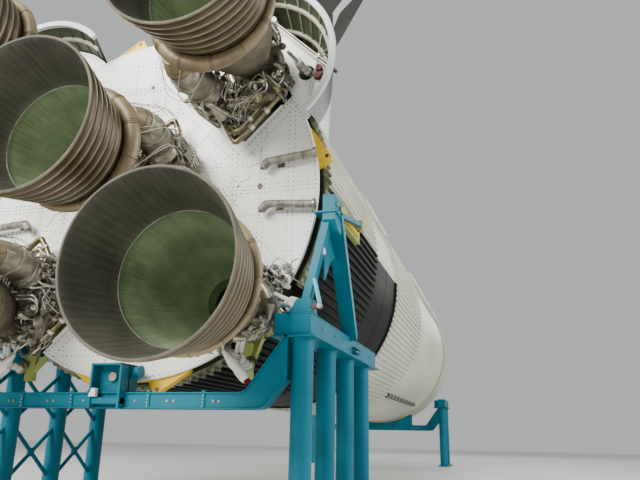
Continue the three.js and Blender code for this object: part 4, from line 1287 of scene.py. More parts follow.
def roll_pattern():
    material, tree, shader = fresh("roll_pattern", 0.0, 0.3)
    shader.inputs["Specular IOR Level"].default_value = 0.05
    place = apart(tree, coordinates(tree))
    below = math_node(tree, "LESS_THAN", place["Z"], mark(2, PAINT_LINE_Z))
    behind = math_node(tree, "LESS_THAN", place["Y"], mark(1, BLACK_END_Y))
    black = math_node(tree, "MULTIPLY", below, behind)
    grime = noise(tree, coordinates(tree, (1.5, 0.25, 1.5)), 2.0)
    white = ramp(tree, grime, [(0.3, (0.52, 0.52, 0.43)), (0.65, (0.70, 0.69, 0.57))])
    black_tones = [(0.3, (0.005, 0.008, 0.008)), (0.62, (0.016, 0.017, 0.013)), (0.82, (0.060, 0.030, 0.013))]
    painted = blend_colours(tree, black, white, ramp(tree, grime, black_tones))
    # the first half metre beside the shield is bare primer with a pale edge
    near = math_node(tree, "LESS_THAN", place["Y"], mark(1, PRIMER_END_Y))
    bare = ramp(tree, noise(tree, coordinates(tree), 5.0), [(0.4, (0.10, 0.11, 0.06)), (0.6, (0.30, 0.30, 0.22))])
    # the walls of the openings, deeper than the skin, are painted nearly black: painted shade inside the bays
    centre_z = math_node(tree, "SUBTRACT", place["Z"], mark(2, 0))
    squares = [math_node(tree, "MULTIPLY", value, value) for value in (place["X"], centre_z)]
    inside = math_node(tree, "LESS_THAN", math_node(tree, "ADD", *squares), mark(0, SHADED_WALL_R) ** 2)
    outside = blend_colours(tree, near, painted, bare)
    feed(tree, blend_colours(tree, inside, outside, (0.030, 0.036, 0.020)), shader.inputs["Base Color"])
    roughness_range(tree, shader, black, 0.5, 0.46)
    bump(tree, shader, noise(tree, coordinates(tree), 14.0, 3.0), 0.06)
    return material


painted_skin = roll_pattern()
tank_white = worn("tank_white", (0.66, 0.65, 0.52), (0.52, 0.52, 0.41), rough=(0.3, 0.5), slow=0.9, fine=18.0,
                  relief=0.05, stretch=(1, 0.35, 1))
print("black paint ends", BLACK_END_Y, "m forward of the shield")

# %% [markdown]
# ## Stiffened sections
# Thrust structure, intertank and forward skirt are stiffened by hat-shaped stringers on the outside.
# A prism whose outline carries the hats gives real ribs that catch the light edge on.

# %% Stringers
BODY_R, RIM_Y, THRUST_END, INTERTANK_END, TANK_END = 5.03, 0.32, 7.2, 19.9, 33.5
STRINGERS, SKIRT_STRINGERS, SKIRT_IN = 144, 216, 4.76
FILL, FLANK = 0.46, 0.10
# (radius, y) round the section of the ring between tank and intertank
JOINT = [(BODY_R - 0.02, 11.66), (BODY_R + 0.01, 11.68), (BODY_R + 0.01, 11.80), (BODY_R - 0.02, 11.82),
         (4.9, 11.82), (4.9, 11.66)]


def circle(r, count):
    return [(r * math.cos(a), r * math.sin(a)) for a in full_turn(count)]


def hats(radius, height, count):
    """The outline of a skin with hat-shaped stringers; a hat fills part of each pitch."""
    pitch = 2 * math.pi / count
    hat = ((radius, 0), (radius + height, FLANK), (radius + height, FILL - FLANK), (radius, FILL))
    return [(r * math.cos((i + t) * pitch), r * math.sin((i + t) * pitch)) for i in range(count) for r, t in hat]


def loop_at(outline, y):
    return [(x, y, z) for x, z in outline]


thrust_cutters = bay_cutters(3.0, 6.6, 1.25, 0.15, 1.0)
skin = carved(prism(hats(BODY_R, 0.07, STRINGERS), RIM_Y, THRUST_END - 0.002), thrust_cutters, "thrust_skin")
put("thrust_skin", skin, [painted_skin], ["thrust_structure"])
rim = Piece()
turn(rim, [(4.80, 0.102), (4.80, 0.34)], ROUND_SIDES)
put("thrust_rim", carved(rim, thrust_cutters, "thrust_rim"), [dark_primer])
joint = Piece()
skin_rings(joint, [loop_at(circle(r, ROUND_SIDES), y) for r, y in JOINT], closed=True)
put("tank_joint_ring", joint, [painted_skin])
intertank = prism(hats(BODY_R, 0.075, STRINGERS), BLACK_END_Y, INTERTANK_END - 0.002)
put("intertank_skin", intertank, [tank_white], ["intertank"])
skirt = Piece()
inner, outer = circle(SKIRT_IN, 4 * SKIRT_STRINGERS), hats(BODY_R, 0.035, SKIRT_STRINGERS)
section = [(outer, TANK_END), (outer, FRONT_Y - 0.02), (inner, FRONT_Y - 0.02), (inner, TANK_END)]
skin_rings(skirt, [loop_at(*row) for row in section], [0, 1, 1, 1], closed=True)
put("forward_skirt_skin", skirt, [skirt_white, primer], ["forward_skirt"])
print("stringers:", 2 * STRINGERS + SKIRT_STRINGERS)

# %% [markdown]
# ## Tanks
# Between the stiffened sections the tanks are smooth rolled sheet. Shallow steps mark the ring welds,
# and the forward tank ends in a dome inside the skirt.

# %% Smooth tanks
SKIN_R = 4.98
FUEL_WELDS, OXIDIZER_WELDS = (7.5, 9.6), (20.3, 22.9, 25.5, 28.1, 30.7, 33.1)


def tank(name, y0, y1, welds, end, finish):
    piece = Piece()
    profile = [(SKIN_R - 0.3, y0), (SKIN_R, y0)]
    for y in welds:
        profile += [(SKIN_R, y - 0.06), (SKIN_R + 0.008, y - 0.05), (SKIN_R + 0.008, y + 0.05), (SKIN_R, y + 0.06)]
    turn(piece, profile + [(SKIN_R, y1)] + end, ROUND_SIDES)
    put(f"{name}_wall", piece, [finish], [name])


fuel_end, dome_y = BLACK_END_Y - 0.002, TANK_END - 0.002
dome = [(4.66 * math.cos(t), dome_y + 2.4 * math.sin(t)) for t in np.linspace(0, 1.5, 12)]
tank("fuel_tank", THRUST_END, fuel_end, FUEL_WELDS, [(SKIN_R - 0.3, fuel_end)], painted_skin)
tank("oxidizer_tank", INTERTANK_END, dome_y, OXIDIZER_WELDS, dome, tank_white)
print("ring welds:", len(FUEL_WELDS) + len(OXIDIZER_WELDS))

# %% [markdown]
# ## Covers along the tanks
# Pipes and cables run outside the tanks under long covers. The solids have the right shape, so they
# only get paint, and straps every metre or so.

# %% Covers and straps
# name: (angle round the stage, first y, last y, half width, height)
COVERS = {
    "tunnel_right": (28, 20.0, 33.4, 0.3, 0.28), "tunnel_left": (208, 20.0, 33.4, 0.3, 0.28),
    "fuel_tunnel_right": (28, 7.3, 11.75, 0.25, 0.22), "fuel_tunnel_left": (208, 7.3, 11.75, 0.25, 0.22),
    "lower_conduit": (-52, 20.2, 30.5, 0.14, 0.14),
}
for name, (angle, y0, y1, half, height) in COVERS.items():
    paint_solid(name, dark if name == "lower_conduit" else skirt_white)
    straps, top = Piece(), SKIN_R + height
    across = [(SKIN_R - 0.03, half + 0.03), (top - half / 3, half + 0.015), (top + 0.012, half / 2)]
    outline = [(u, -v) for u, v in across] + across[::-1]
    for y in np.arange(y0 + 0.3, y1 - 0.2, 1.1):
        slab(straps, outline, y, y + 0.09, angle)
    put(f"straps_{name}", straps, [skirt_white])
print("covers:", len(COVERS))

# %% [markdown]
# ## Fairings and fins
# The two upper outer engines stand half inside cones that smooth the air round them. Each is a thin
# shell that ends where it meets the body, with frames inside, a flange round its mouth, and a fin.

# %% Cone shells
UPPER = (("upper_right", 45), ("upper_left", 135))
FAIRING_AFT, FAIRING_R, FAIRING_SLOPE = -1.0, 2.3, 0.3
SKIN_T, RIM_WIDE, RIM_DEEP, RIM_STEPS, FRAME_STEPS = 0.05, 0.15, 0.12, 60, 28
FRAMES_Y, RIVETS_Y = (-0.5, 0.35, 1.1, 1.85, 2.6, 3.35), (-0.75, -0.1, 0.6, 1.3, 2.1, 2.9, 3.7)
MEET_R = BODY_R + 0.075
CONE_BLACK_END_Y = 1.0
FAIRING_FORE = FAIRING_AFT + (FAIRING_R - (MEET_R - ENGINE_RING_R) - 0.03) / FAIRING_SLOPE


def cone_radius(y):
    return FAIRING_R - (y - FAIRING_AFT) * FAIRING_SLOPE


def meeting_angle(rho):
    """How far round the cone its skin reaches before it meets the body."""
    c = (MEET_R**2 - ENGINE_RING_R**2 - rho**2) / (2 * ENGINE_RING_R * rho)
    return math.acos(max(-1.0, min(1.0, c)))


def on_cone(r, bearing, y, angle):
    x, z = spin(ENGINE_RING_R + r * math.cos(bearing), r * math.sin(bearing), angle)
    return x, y, z


def cone_band(piece, angle, rows, finish, steps=40):
    """A closed shell along y; each row is (y, outer radius, inner radius)."""
    rings = []
    for y, outer_r, inner_r in rows:
        limit = meeting_angle(outer_r)
        rings.append([on_cone(r, t * limit, y, angle) for r, way in ((outer_r, 1), (inner_r, -1))
                      for t in np.linspace(-1, 1, steps) * way])
    skin_rings(piece, rings, finish)


def cone_paint():
    """Black from the mouth to just past the shield, pale from there on."""
    material, tree, shader = fresh("cone_paint", 0.0, 0.4)
    grime = noise(tree, coordinates(tree, (1.5, 0.4, 1.5)), 2.0)
    edge = math_node(tree, "LESS_THAN", apart(tree, coordinates(tree))["Y"], mark(1, CONE_BLACK_END_Y))
    pale = ramp(tree, grime, [(0.3, (0.50, 0.53, 0.50)), (0.65, (0.72, 0.74, 0.70))])
    black_tones = [(0.3, (0.020, 0.022, 0.016)), (0.6, (0.050, 0.048, 0.034)), (0.85, (0.12, 0.06, 0.03))]
    black = ramp(tree, grime, black_tones)
    feed(tree, blend_colours(tree, edge, pale, black), shader.inputs["Base Color"])
    bump(tree, shader, noise(tree, coordinates(tree), 14.0, 3.0), 0.06)
    return material


def cone_rivets(angle):
    """Rows of rivets round the cone that stop just short of its edges."""
    rivets = Piece()
    for y in RIVETS_Y:
        r = cone_radius(y)
        limit = meeting_angle(r) * 0.97
        for t in np.linspace(-limit, limit, int(limit * r * 2 / 0.16)):
            x, _, z = on_cone(r, t, y, angle)
            ox, oz = spin(math.cos(t), math.sin(t), angle)
            tube(rivets, [(x - 0.01 * ox, y, z - 0.01 * oz), (x + 0.008 * ox, y, z + 0.008 * oz)], 0.013, 5)
    return rivets


cone_outside = cone_paint()
print("cones end at y =", round(FAIRING_FORE, 2))

# %% [markdown]
# Each fairing is dressed with a skin and its lining, a flange round the mouth, six frames, and
# fifteen stringers inside. Rows of rivets run round it outside.

# %% Dressing the fairings
cone_frame = worn("frame_paint", (0.46, 0.45, 0.34), (0.26, 0.26, 0.18), rough=(0.45, 0.65), slow=3.0, relief=0.1)
for bay, angle in UPPER:
    shell = Piece()
    skin_rows = [(y, cone_radius(y)) for y in np.linspace(FAIRING_AFT + RIM_DEEP, FAIRING_FORE, 24)]
    cone_band(shell, angle, [(y, r, r - SKIN_T) for y, r in skin_rows], 0)
    cone_band(shell, angle, [(y, r - SKIN_T - 0.002, r - SKIN_T - 0.02) for y, r in skin_rows[:20]], 1)
    flange = [(0, -0.01), (0.02, 0.01), (RIM_DEEP - 0.002, 0.005)]
    flange = [(FAIRING_AFT + dy, FAIRING_R + dr, FAIRING_R - RIM_WIDE) for dy, dr in flange]
    cone_band(shell, angle, flange, 2, RIM_STEPS)
    for y in FRAMES_Y:
        frame_rows = [(yy, cone_radius(yy) - SKIN_T - 0.01, cone_radius(yy) - 0.15) for yy in (y, y + 0.07)]
        cone_band(shell, angle, frame_rows, 3, FRAME_STEPS)
    for t in np.linspace(-0.92, 0.92, 15):
        run = [on_cone(cone_radius(y) - SKIN_T - 0.03, t * meeting_angle(cone_radius(y)), y, angle)
               for y in np.linspace(-0.85, 3.6, 6)]
        tube(shell, run, 0.028, 5, 3 if abs(t) < 0.3 else 1)
    put(f"fairing_rivets_{bay}", cone_rivets(angle), [dark])
    finishes = [cone_outside, dark_primer, fairing_paint, cone_frame]
    put(f"fairing_shell_{bay}", shell, finishes, [f"fairing_{bay}"])
    paint_solid(f"base_plate_{bay}", shield_white)
print("fairings:", len(UPPER))

# %% [markdown]
# The fin stands on its cone: thick at the root, thin at the tip and at the forward edge. It is black
# like the cone's mouth, with one blank pale panel on each side.

# %% Fins
FIN_TIP, FIN_AFT_Y, TIP_FORE_Y, ROOT_FORE_Y = 9.58, -0.85, 0.1, 1.9


def fin_section(angle, root_share, inset=0.0, proud=0.0):
    """A slice across the fin: root_share is 1 at the cone and 0 at the tip."""
    half = 0.10 + 0.06 * root_share + proud
    fore = TIP_FORE_Y + (ROOT_FORE_Y - TIP_FORE_Y) * root_share
    aft, fore = FIN_AFT_Y + inset, fore - inset
    crest = aft + 0.35 * (fore - aft)
    one_side = [(aft, 0.10 + proud), (crest, half), (fore, 0.015 + proud)]
    section = []
    for y, t in [(y, -t) for y, t in one_side] + one_side[::-1]:
        root = ENGINE_RING_R + cone_radius(y) - 0.03
        x, z = spin(root + (FIN_TIP - root) * (1 - root_share), t, angle)
        section.append((x, y, z))
    return section


fin_black = worn("fin_black", (0.045, 0.042, 0.034), (0.020, 0.022, 0.018), rough=(0.35, 0.55), relief=0.06)
for bay, angle in UPPER:
    fin = Piece()
    skin_rings(fin, [fin_section(angle, share) for share in (1, 0.66, 0.33, 0)])
    skin_rings(fin, [fin_section(angle, share, 0.25, 0.004) for share in (0.78, 0.52)], 1)
    put(f"fin_skin_{bay}", fin, [fin_black, fairing_paint], [f"fin_{bay}"])
print("fins:", len(UPPER))

# %% [markdown]
# A light tubular beam closes the mouth of each fairing. From a small hub on it thin rods run to the
# rim, and a bracket with a red cap sits where the beam meets the rim.

# %% Mouth beam, hub and rods
PLATE_OUT = 6.03
BEAM_U, HUB_V, ROD_Y = PLATE_OUT - 0.03, 0.94, -0.25


def rod_end(direction):
    """Where a rod from the hub comes near the rim, as (u, v)."""
    c, d = math.cos(math.radians(direction)), math.sin(math.radians(direction))
    length = 0.2
    while math.hypot(BEAM_U + c * length - ENGINE_RING_R, HUB_V + d * length) < cone_radius(ROD_Y) - 0.10:
        length += 0.02
    return BEAM_U + c * length, HUB_V + d * length


def mouth_rods(flip):
    rods = Piece()

    def place(u, v, y):
        x, z = spin(u, -v, 45)
        return np.array((flip * x, y, z))

    tube(rods, [place(BEAM_U, v, -0.13) for v in (-1.68, 1.68)], 0.055, 14)
    tube(rods, [place(BEAM_U, v, -0.26) for v in (-1.45, 1.45)], 0.035, 12, 1)
    hub = place(BEAM_U, HUB_V, -0.22)
    tube(rods, [hub + (0, 0.06, 0), hub - (0, 0.06, 0)], 0.06, 16, 1)
    for direction in (-38, 12, 48):
        tube(rods, [hub, place(*rod_end(direction), ROD_Y)], 0.016, 8)
    for v in (0.86, 0.96):
        tube(rods, [hub, place(5.05, v + 0.55, 0.0)], 0.013, 8)
    for v in np.arange(-1.5, 1.6, 0.16):
        head = place(PLATE_OUT - 0.14, v, 0)
        tube(rods, [head + (0, 0.01, 0), head - (0, 0.012, 0)], 0.012, 6, 2)
    for u, v in ((5.80, 1.12), (5.62, 1.26)):
        tube(rods, [place(u, v, 0.0), place(u, v, -0.14)], 0.09, 14, 3)
    foot = place(5.66, 1.18, 0)
    tube(rods, [foot + (0, 0.02, 0), foot - (0, 0.09, 0)], [0.17, 0.14], 6, 4)
    cap = place(1.5 + ENGINE_RING_R, -1.35, -0.2)
    tube(rods, [cap, cap - (0, 0.1, 0)], 0.05, 12, 3)
    return rods


for side, flip in SIDES:
    finishes = [bright_tube, steel, dark, red_cap, brown_metal]
    put(f"fairing_rods_upper_{side}", mouth_rods(flip), finishes)
print("mouth beams:", len(SIDES))

# %% [markdown]
# ## Brackets, pipes and side fittings
# Yellow plates hold the stage at its rim. Their edges are folded, and bolts follow the rim's curve.

# %% Yellow rim brackets
PLATE_Y, PLATE_IN, STRIP_OUT = (0.105, 0.31), 4.822, 4.93
# name, direction, and the sides that have an arm
BRACKETS = (("right", 0, (1,)), ("top", 90, (1, -1)), ("left", 180, (-1,)), ("bottom", 270, (1, -1)))


def arc(r, first, last, count):
    """Points at a radius, from one angle to another."""
    return [(r * math.cos(t), r * math.sin(t)) for t in np.radians(np.linspace(first, last, count))]


def bracket_bolt(piece, u, v, angle, size, sides):
    x, z = spin(u, v, angle)
    tube(piece, [(x, 0.11, z), (x, 0.085, z)], size, sides, 1)


def horn(piece, angle, flip):
    """One arm of a bracket, widening from its tip down to the middle of its side."""
    outline = arc(PLATE_IN, 6, 19.5, 10) + [(4.64, 1.66), (5.21, 0.78), (5.21, 0.70), (4.88, 0.52)]
    slab(piece, [(u, flip * v) for u, v in outline], *PLATE_Y, angle)
    (xa, za), (xb, zb) = spin(4.66, flip * 1.62, angle), spin(5.20, flip * 0.79, angle)
    beam(piece, (xa, 0.20, za), (xb, 0.20, zb), 0.03, 0.24, (0, 1, 0))
    for u, v in arc(4.90, 7, 18.5, 6):
        bracket_bolt(piece, u, flip * v, angle, 0.022, 6)
    bracket_bolt(piece, 5.10, flip * 0.80, angle, 0.05, 16)


for name, angle, arms in BRACKETS:
    bracket = Piece()
    for flip in arms:
        horn(bracket, angle, flip)
    if len(arms) > 1:
        slab(bracket, arc(PLATE_IN, -7, 7, 9) + arc(STRIP_OUT, -7, 7, 9)[::-1], *PLATE_Y, angle)
    put(f"rim_plate_{name}", bracket, [yellow, wire], [f"rim_bracket_{name}"])
print("rim brackets:", len(BRACKETS))

# %% [markdown]
# Short pipes drain the stage past the shield: a straight run with straps and an open end turned down.

# %% Drain pipes
PIPE_Y, PIPE_R = -0.26, 0.1
# level, and z of the run's inner and outer end
LEVELS = (("upper", 0.64, 0.76), ("lower", -0.54, -0.64))
pipe_wrap = worn("pipe_wrap", (0.34, 0.31, 0.26), (0.13, 0.115, 0.09), 0.3, (0.4, 0.65), 9.0, 50.0, 0.5)


def drain_pipe(flip, z0, z1):
    pipe = Piece()
    spots = [(4.93 - 1.2 * t, z1 + (z0 - z1) * t) for t in np.linspace(0, 1, 9)]
    run = spots + [(3.64, z0 - 0.015), (3.57, z0 - 0.06), (3.52, z0 - 0.13), (3.50, z0 - 0.19)]
    path = [np.array((flip * x, PIPE_Y, z)) for x, z in run]
    tube(pipe, path, [PIPE_R] * 9 + [PIPE_R * k for k in (1.12, 1.18, 1.1, 1.02)], 20, 0, crumple=0.025)
    tube(pipe, [path[-1], path[-1] - (0, 0, 0.006)], PIPE_R * 0.85, 20, 1)
    tube(pipe, [path[0] - (flip * 0.01, 0, 0), path[0] - (flip * 0.06, 0, 0)], PIPE_R + 0.04, 20, 2)
    for i in (2, 4, 6, 9):
        tie(pipe, path[i], path[i + 1] - path[i], PIPE_R * (1.16 if i > 8 else 1.05), 0.012, 2)
    block(pipe, (flip * 3.86, flip * 3.94), (-0.2, -0.001), (z0 - 0.04, z0 + 0.06), 2)
    block(pipe, (flip * 3.80, flip * 4.0), (-0.02, -0.001), (z0 - 0.1, z0 + 0.12), 2)
    return pipe


for level_name, z0, z1 in LEVELS:
    for side, flip in SIDES:
        pipe_name = f"{level_name}_{side}"
        put(f"drain_run_{pipe_name}", drain_pipe(flip, z0, z1), [pipe_wrap, dark, steel],
            [f"drain_pipe_{pipe_name}"])
print("drain pipes:", len(LEVELS) * len(SIDES))

# %% [markdown]
# The side fittings are plates on the black skin. They get primer, two rows of studs, a pin and a
# yellow rail.

# %% Side fittings
for side, flip in SIDES:
    paint_solid(f"side_fitting_{side}", primer)
    studs = Piece()
    for y in np.arange(1.4, 3.5, 0.2):
        for z in (-0.56, -0.12):
            tube(studs, [(flip * 5.2, y, z), (flip * 5.245, y, z)], 0.026, 6)
    tube(studs, [(flip * 5.34, 3.02, -0.38), (flip * 5.34, 3.02, -0.04)], 0.07, 18)
    beam(studs, (flip * 5.25, 1.35, -0.5), (flip * 5.25, 3.2, -0.42), 0.06, 0.10, finish=1)
    put(f"side_studs_{side}", studs, [steel, yellow])
print("side fittings:", len(SIDES))

# %% [markdown]
# ## Display cradles
# Everything teal is the steelwork of the display: box beams on round columns, a bent cross beam under
# the engines, and an A-frame at each side that takes the stage's weight at its rim. Plates are drawn a
# little proud of the beams, as flanges and stiffeners are, and every edge is slightly rounded.

# %% Trestles
TRESTLE_X, COLUMN_R, CAP_HALF, CAP_TOP, CAP_BOTTOM, FLOOR_Z = 4.74, 0.25, 0.27, -3.43, -3.95, -8.0
KNEE_X, FOOT_HALF, FOOT_BOLT = 4.12, 0.4, 0.32
BEAM_TOP, BEAM_BOTTOM = -5.22, -5.6
BRACE_Z = ((-7.6, -5.9), (-5.9, -4.3))


def trestle(flip, columns, span, braced, knee):
    """Columns under one cap; knee is where the cross beam comes up beside it."""
    piece, (y0, y1) = Piece(), span
    x, inner, outer = flip * TRESTLE_X, flip * (TRESTLE_X - CAP_HALF), flip * (TRESTLE_X + CAP_HALF)
    under = (CAP_BOTTOM - 0.04, CAP_BOTTOM + 0.01)
    block(piece, (inner + flip * 0.01, outer - flip * 0.01), (y0 + 0.01, y1 - 0.01), (CAP_BOTTOM, CAP_TOP - 0.03))
    block(piece, (inner, outer), span, (CAP_TOP - 0.035, CAP_TOP))
    block(piece, (inner - flip * 0.1, outer + flip * 0.1), (y0 - 0.05, y1 + 0.05), under)
    # the box beside the cap that the cross beam comes up to
    block(piece, (flip * KNEE_X, flip * (TRESTLE_X - CAP_HALF + 0.05)), knee, (CAP_BOTTOM, CAP_TOP))
    block(piece, (flip * (KNEE_X - 0.06), inner), (knee[0] - 0.05, knee[1] + 0.05), under)
    # a small bracket on the outer side, and bolt heads
    for dz in (0.12, 0.24):
        along = [t * (y1 - y0) / 7.68 + y0 for t in (4.1, 4.8)]
        block(piece, (outer, outer + flip * 0.12), along, (CAP_BOTTOM + dz, CAP_BOTTOM + dz + 0.025))
    for t in (0.14, 0.3, 0.42, 0.7, 0.86):
        y, z = y0 + t * (y1 - y0), CAP_BOTTOM + 0.3
        tube(piece, [(outer, y, z), (outer + flip * 0.02, y, z)], 0.035, 10, 1)
    for y in columns:
        tube(piece, [(x, y, FLOOR_Z + 0.03), (x, y, CAP_BOTTOM)], COLUMN_R, 40)
        tube(piece, [(x, y, CAP_BOTTOM - 0.07), (x, y, CAP_BOTTOM - 0.03)], COLUMN_R + 0.025, 40)
        foot = (x - FOOT_HALF, x + FOOT_HALF), (y - FOOT_HALF, y + FOOT_HALF)
        block(piece, *foot, (FLOOR_Z + 0.001, FLOOR_Z + 0.05))
        for dx in (-FOOT_BOLT, FOOT_BOLT):
            for dy in (-FOOT_BOLT, FOOT_BOLT):
                tube(piece, [(x + dx, y + dy, FLOOR_Z + 0.04), (x + dx, y + dy, FLOOR_Z + 0.10)], 0.035, 6, 1)
    for near, far in zip(columns, columns[1:]) if braced else ():
        for za, zb in BRACE_Z:
            for a, b in ((za, zb), (zb, za)):
                tube(piece, [(x, near, a), (x, far, b)], 0.062, 14)
            mid = (za + zb) / 2
            block(piece, (x - 0.05, x + 0.05), (near + 0.93, near + 1.15), (mid - 0.13, mid + 0.13))
    return piece


AFT_COLUMNS, FORE_COLUMNS = (-0.4, 1.65, 3.75, 5.9), (33.6, 35.7)
for side, flip in SIDES:
    aft_trestle = trestle(flip, AFT_COLUMNS, (-0.68, 7.0), flip < 0, (-0.68, 0.1))
    put(f"aft_tower_{side}", aft_trestle, [teal, steel], [f"aft_trestle_{side}"], edge=0.006)
    fore_trestle = trestle(flip, FORE_COLUMNS, (33.2, 36.1), False, (34.4, 34.9))
    solid = [f"forward_trestle_{side}"]
    put(f"forward_tower_{side}", fore_trestle, [teal, steel], solid, edge=0.006)
print("columns:", 2 * (len(AFT_COLUMNS) + len(FORE_COLUMNS)))

# %% [markdown]
# An A-frame is a straight leg and a raked one that meet in a head plate at the rim. A curved gusset
# stiffens the corner, and each foot has a plate with four bolts.

# %% A-frames
SEAT = CAP_TOP + 0.001
HEAD = [(-0.60, -0.55), (0.09, -0.55), (0.09, -0.9), (0.02, -1.42), (-0.30, -1.40), (-0.60, -1.2)]
GUSSET_CURVE = [(1.15, -1.75), (0.72, -1.80), (0.30, -2.02), (0.02, -2.35), (-0.22, -2.6)]
SHOE = [(4.42, SEAT + 0.001), (5.02, SEAT + 0.001), (4.98, SEAT + 0.34), (4.62, SEAT + 0.34)]
# (x, x, y, y) of the plates under the two legs
FOOT_PLATES = ((4.45, 5.0, -0.66, -0.15), (4.56, 4.98, 3.1, 3.75))
pale_teal = worn("pale_teal", (0.06, 0.42, 0.60), (0.04, 0.34, 0.50), rough=(0.3, 0.45), relief=0.04)


def a_frame(flip):
    piece = Piece()

    def place(x, y, z):
        return flip * x, y, z

    def pin(a, b, radius, sides, finish=1):
        tube(piece, [place(*a), place(*b)], radius, sides, finish)

    beam(piece, place(4.74, -0.45, SEAT), place(5.33, -0.40, -0.95), 0.20, 0.26, (0, 1, 0))
    beam(piece, place(4.96, 3.42, SEAT), place(5.36, -0.08, -0.92), 0.22, 0.42, (1, 0, 0))
    gusset = [(-0.40, -1.15), (0.10, -0.95), *smooth(GUSSET_CURVE, 4)]
    for outline, sheet in ((HEAD, (5.2, 5.52)), (gusset, (5.14, 5.19))):
        skin_rings(piece, [[place(x, y, z) for y, z in outline] for x in sheet])
    block(piece, (flip * 5.0, flip * 5.56), (-0.64, 0.10), (-1.02, -0.97))
    beam(piece, place(5.4, 0, -0.85), place(5.36, 2.82, -0.21), 0.13, 0.13)
    for y in (-0.45, -0.1):
        pin((5.5, y, -0.78), (5.56, y, -0.78), 0.06, 20)
    # a tapered shoe at the near leg's foot
    slab(piece, [(flip * x, z) for x, z in SHOE], -0.62, -0.24)
    for x0, x1, y0, y1 in FOOT_PLATES:
        block(piece, (flip * x0, flip * x1), (y0, y1), (SEAT, SEAT + 0.05))
        for x in (x0 + 0.07, x1 - 0.07):
            for y in (y0 + 0.07, y1 - 0.07):
                pin((x, y, SEAT + 0.04), (x, y, SEAT + 0.10), 0.03, 6)
    # a small eye plate under the gusset, painted white
    block(piece, (flip * 5.10, flip * 5.22), (-0.47, -0.35), (-1.96, -1.74), 2)
    pin((5.08, -0.41, -1.95), (5.24, -0.41, -1.95), 0.055, 18, 2)
    # the pale blue brace inside the frame, with its white and dark end fitting
    beam(piece, place(5.02, -0.52, -2.62), place(5.16, -0.54, -3.22), 0.07, 0.17, (0, 1, 0), 3)
    pin((5.16, -0.62, -3.28), (5.16, -0.48, -3.28), 0.065, 16)
    pin((5.02, -0.62, -3.30), (5.02, -0.48, -3.30), 0.06, 16, 4)
    return piece


for side, flip in SIDES:
    finishes = [teal, steel, shield_white, pale_teal, spot]
    put(f"a_frame_{side}", a_frame(flip), finishes, [f"aft_a_frame_{side}"], edge=0.006)
print("A-frames:", len(SIDES))

# %% [markdown]
# The cross beams run low under the stage and turn up to the trestles at both ends. The aft one
# carries a small post and a drum in its middle, the forward one a saddle with a lining.

# %% Cross beams
ARM_TOP, FLANGE_T = CAP_BOTTOM - 0.042, 0.035
LOW = [(0, BEAM_BOTTOM), (3.70, BEAM_BOTTOM), (3.86, BEAM_BOTTOM + 0.01), (3.98, BEAM_BOTTOM + 0.07), (4.46, -4.95),
       (4.46, ARM_TOP)]
HIGH = [(0, BEAM_TOP), (3.30, BEAM_TOP), (3.42, BEAM_TOP + 0.015), (3.52, BEAM_TOP + 0.07), (4.38, ARM_TOP)]


def bent_beam(y0, y1):
    """Straight along the floor side, then a straight arm up to the caps at both ends."""
    piece = Piece()
    mid = (y0 + y1) / 2
    for flip in (1, -1):
        slab(piece, [(flip * x, z) for x, z in LOW + HIGH[::-1]], y0 + 0.05, y1 - 0.05)
        for line, lift in ((LOW, FLANGE_T / 2), (HIGH, -FLANGE_T / 2)):
            for (xa, za), (xb, zb) in zip(line, line[1:]):
                if abs(xb - xa) > 0.02:
                    beam(piece, (flip * xa, mid, za + lift), (flip * xb, mid, zb + lift), y1 - y0, FLANGE_T)
        # a bolted splice, and bolt heads in pairs
        for x in (1.0, 2.42):
            block(piece, (flip * x, flip * (x + 0.10)), (y0 + 0.02, y0 + 0.07), (BEAM_BOTTOM, BEAM_TOP + 0.04))
            for dz in (0.06, 0.14, 0.22, 0.30):
                bolt_x, bolt_z = flip * (x + 0.05), BEAM_BOTTOM + dz
                tube(piece, [(bolt_x, y0 + 0.03, bolt_z), (bolt_x, y0, bolt_z)], 0.025, 6, 1)
        for x in (0.7, 1.55, 1.72, 2.72, 2.86):
            tube(piece, [(flip * x, y0 + 0.06, -5.42), (flip * x, y0 + 0.03, -5.42)], 0.035, 8, 1)
    return piece


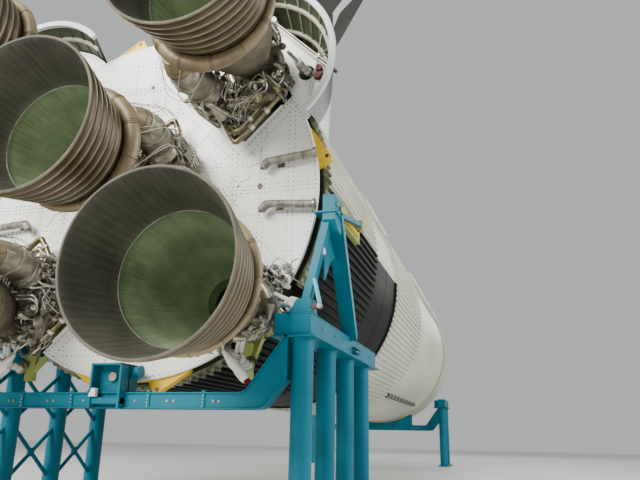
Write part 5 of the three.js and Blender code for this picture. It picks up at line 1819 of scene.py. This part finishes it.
POST_TOP, DRUM = -4.55, (-0.4, -4.72)
aft = bent_beam(-0.75, -0.35)
for x, y, z in (((-0.42, -0.36), (-0.95, -0.2), (BEAM_BOTTOM, POST_TOP)),
                ((0.36, 0.42), (-0.95, -0.2), (BEAM_BOTTOM, POST_TOP)),
                ((-0.42, 0.42), (-0.62, -0.56), (BEAM_BOTTOM, POST_TOP)),
                ((-0.42, 0.42), (-0.95, -0.2), (-4.60, POST_TOP)),
                ((-0.42, 0.42), (-0.90, 0.1), (-5.5, -5.352))):
    block(aft, x, y, z)
tube(aft, [(0.02, -0.64, -4.85), (0.02, -0.70, -4.85)], 0.11, 24, 1)
for i in range(4):
    block(aft, (-0.40 + 0.02 * i, -0.22), (-0.98, -0.85), (-5.33 + 0.05 * i, -5.29 + 0.05 * i), 2)
for x0, x1, r in ((0.44, 0.60, 0.13), (0.60, 0.63, 0.16)):
    tube(aft, [(x0, *DRUM), (x1, *DRUM)], r, 20)
put("aft_bent_beam", aft, [teal, steel, shield_white], ["aft_cross_beam"], edge=0.005)

SADDLE_R, SADDLE_HALF, LINING_T = BODY_R + 0.045, 2.4, 0.06
fore = bent_beam(34.4, 34.9)
half = math.asin(SADDLE_HALF / SADDLE_R)
bearings = np.linspace(-half, half, 25)


def under_stage(r, bearings):
    return [(r * math.sin(t), -r * math.cos(t)) for t in bearings]


saddle = under_stage(SADDLE_R, bearings) + [(SADDLE_HALF, BEAM_BOTTOM), (-SADDLE_HALF, BEAM_BOTTOM)]
for y0, y1 in ((34.42, 34.48), (34.82, 34.88)):
    slab(fore, saddle, y0, y1)
lining = under_stage(SADDLE_R, bearings) + under_stage(SADDLE_R + LINING_T, -bearings)
slab(fore, lining, 34.4, 34.9)
put("forward_bent_beam", fore, [teal, steel], ["forward_cross_beam"], edge=0.005)
print("cross beams done, saddle radius", round(SADDLE_R, 3), "m at full size")

# %% [markdown]
# ## What is left of the solids
# The gimbal crosses keep their own shape: they only need a machined finish.

# %% Gimbal crosses
for bay in BAYS:
    if bay != "centre":
        paint_solid(f"gimbal_cross_{bay}", steel)
bare = [name for name, thing in nodes.items() if not thing.data.materials]
print("solids without a finish:", bare)
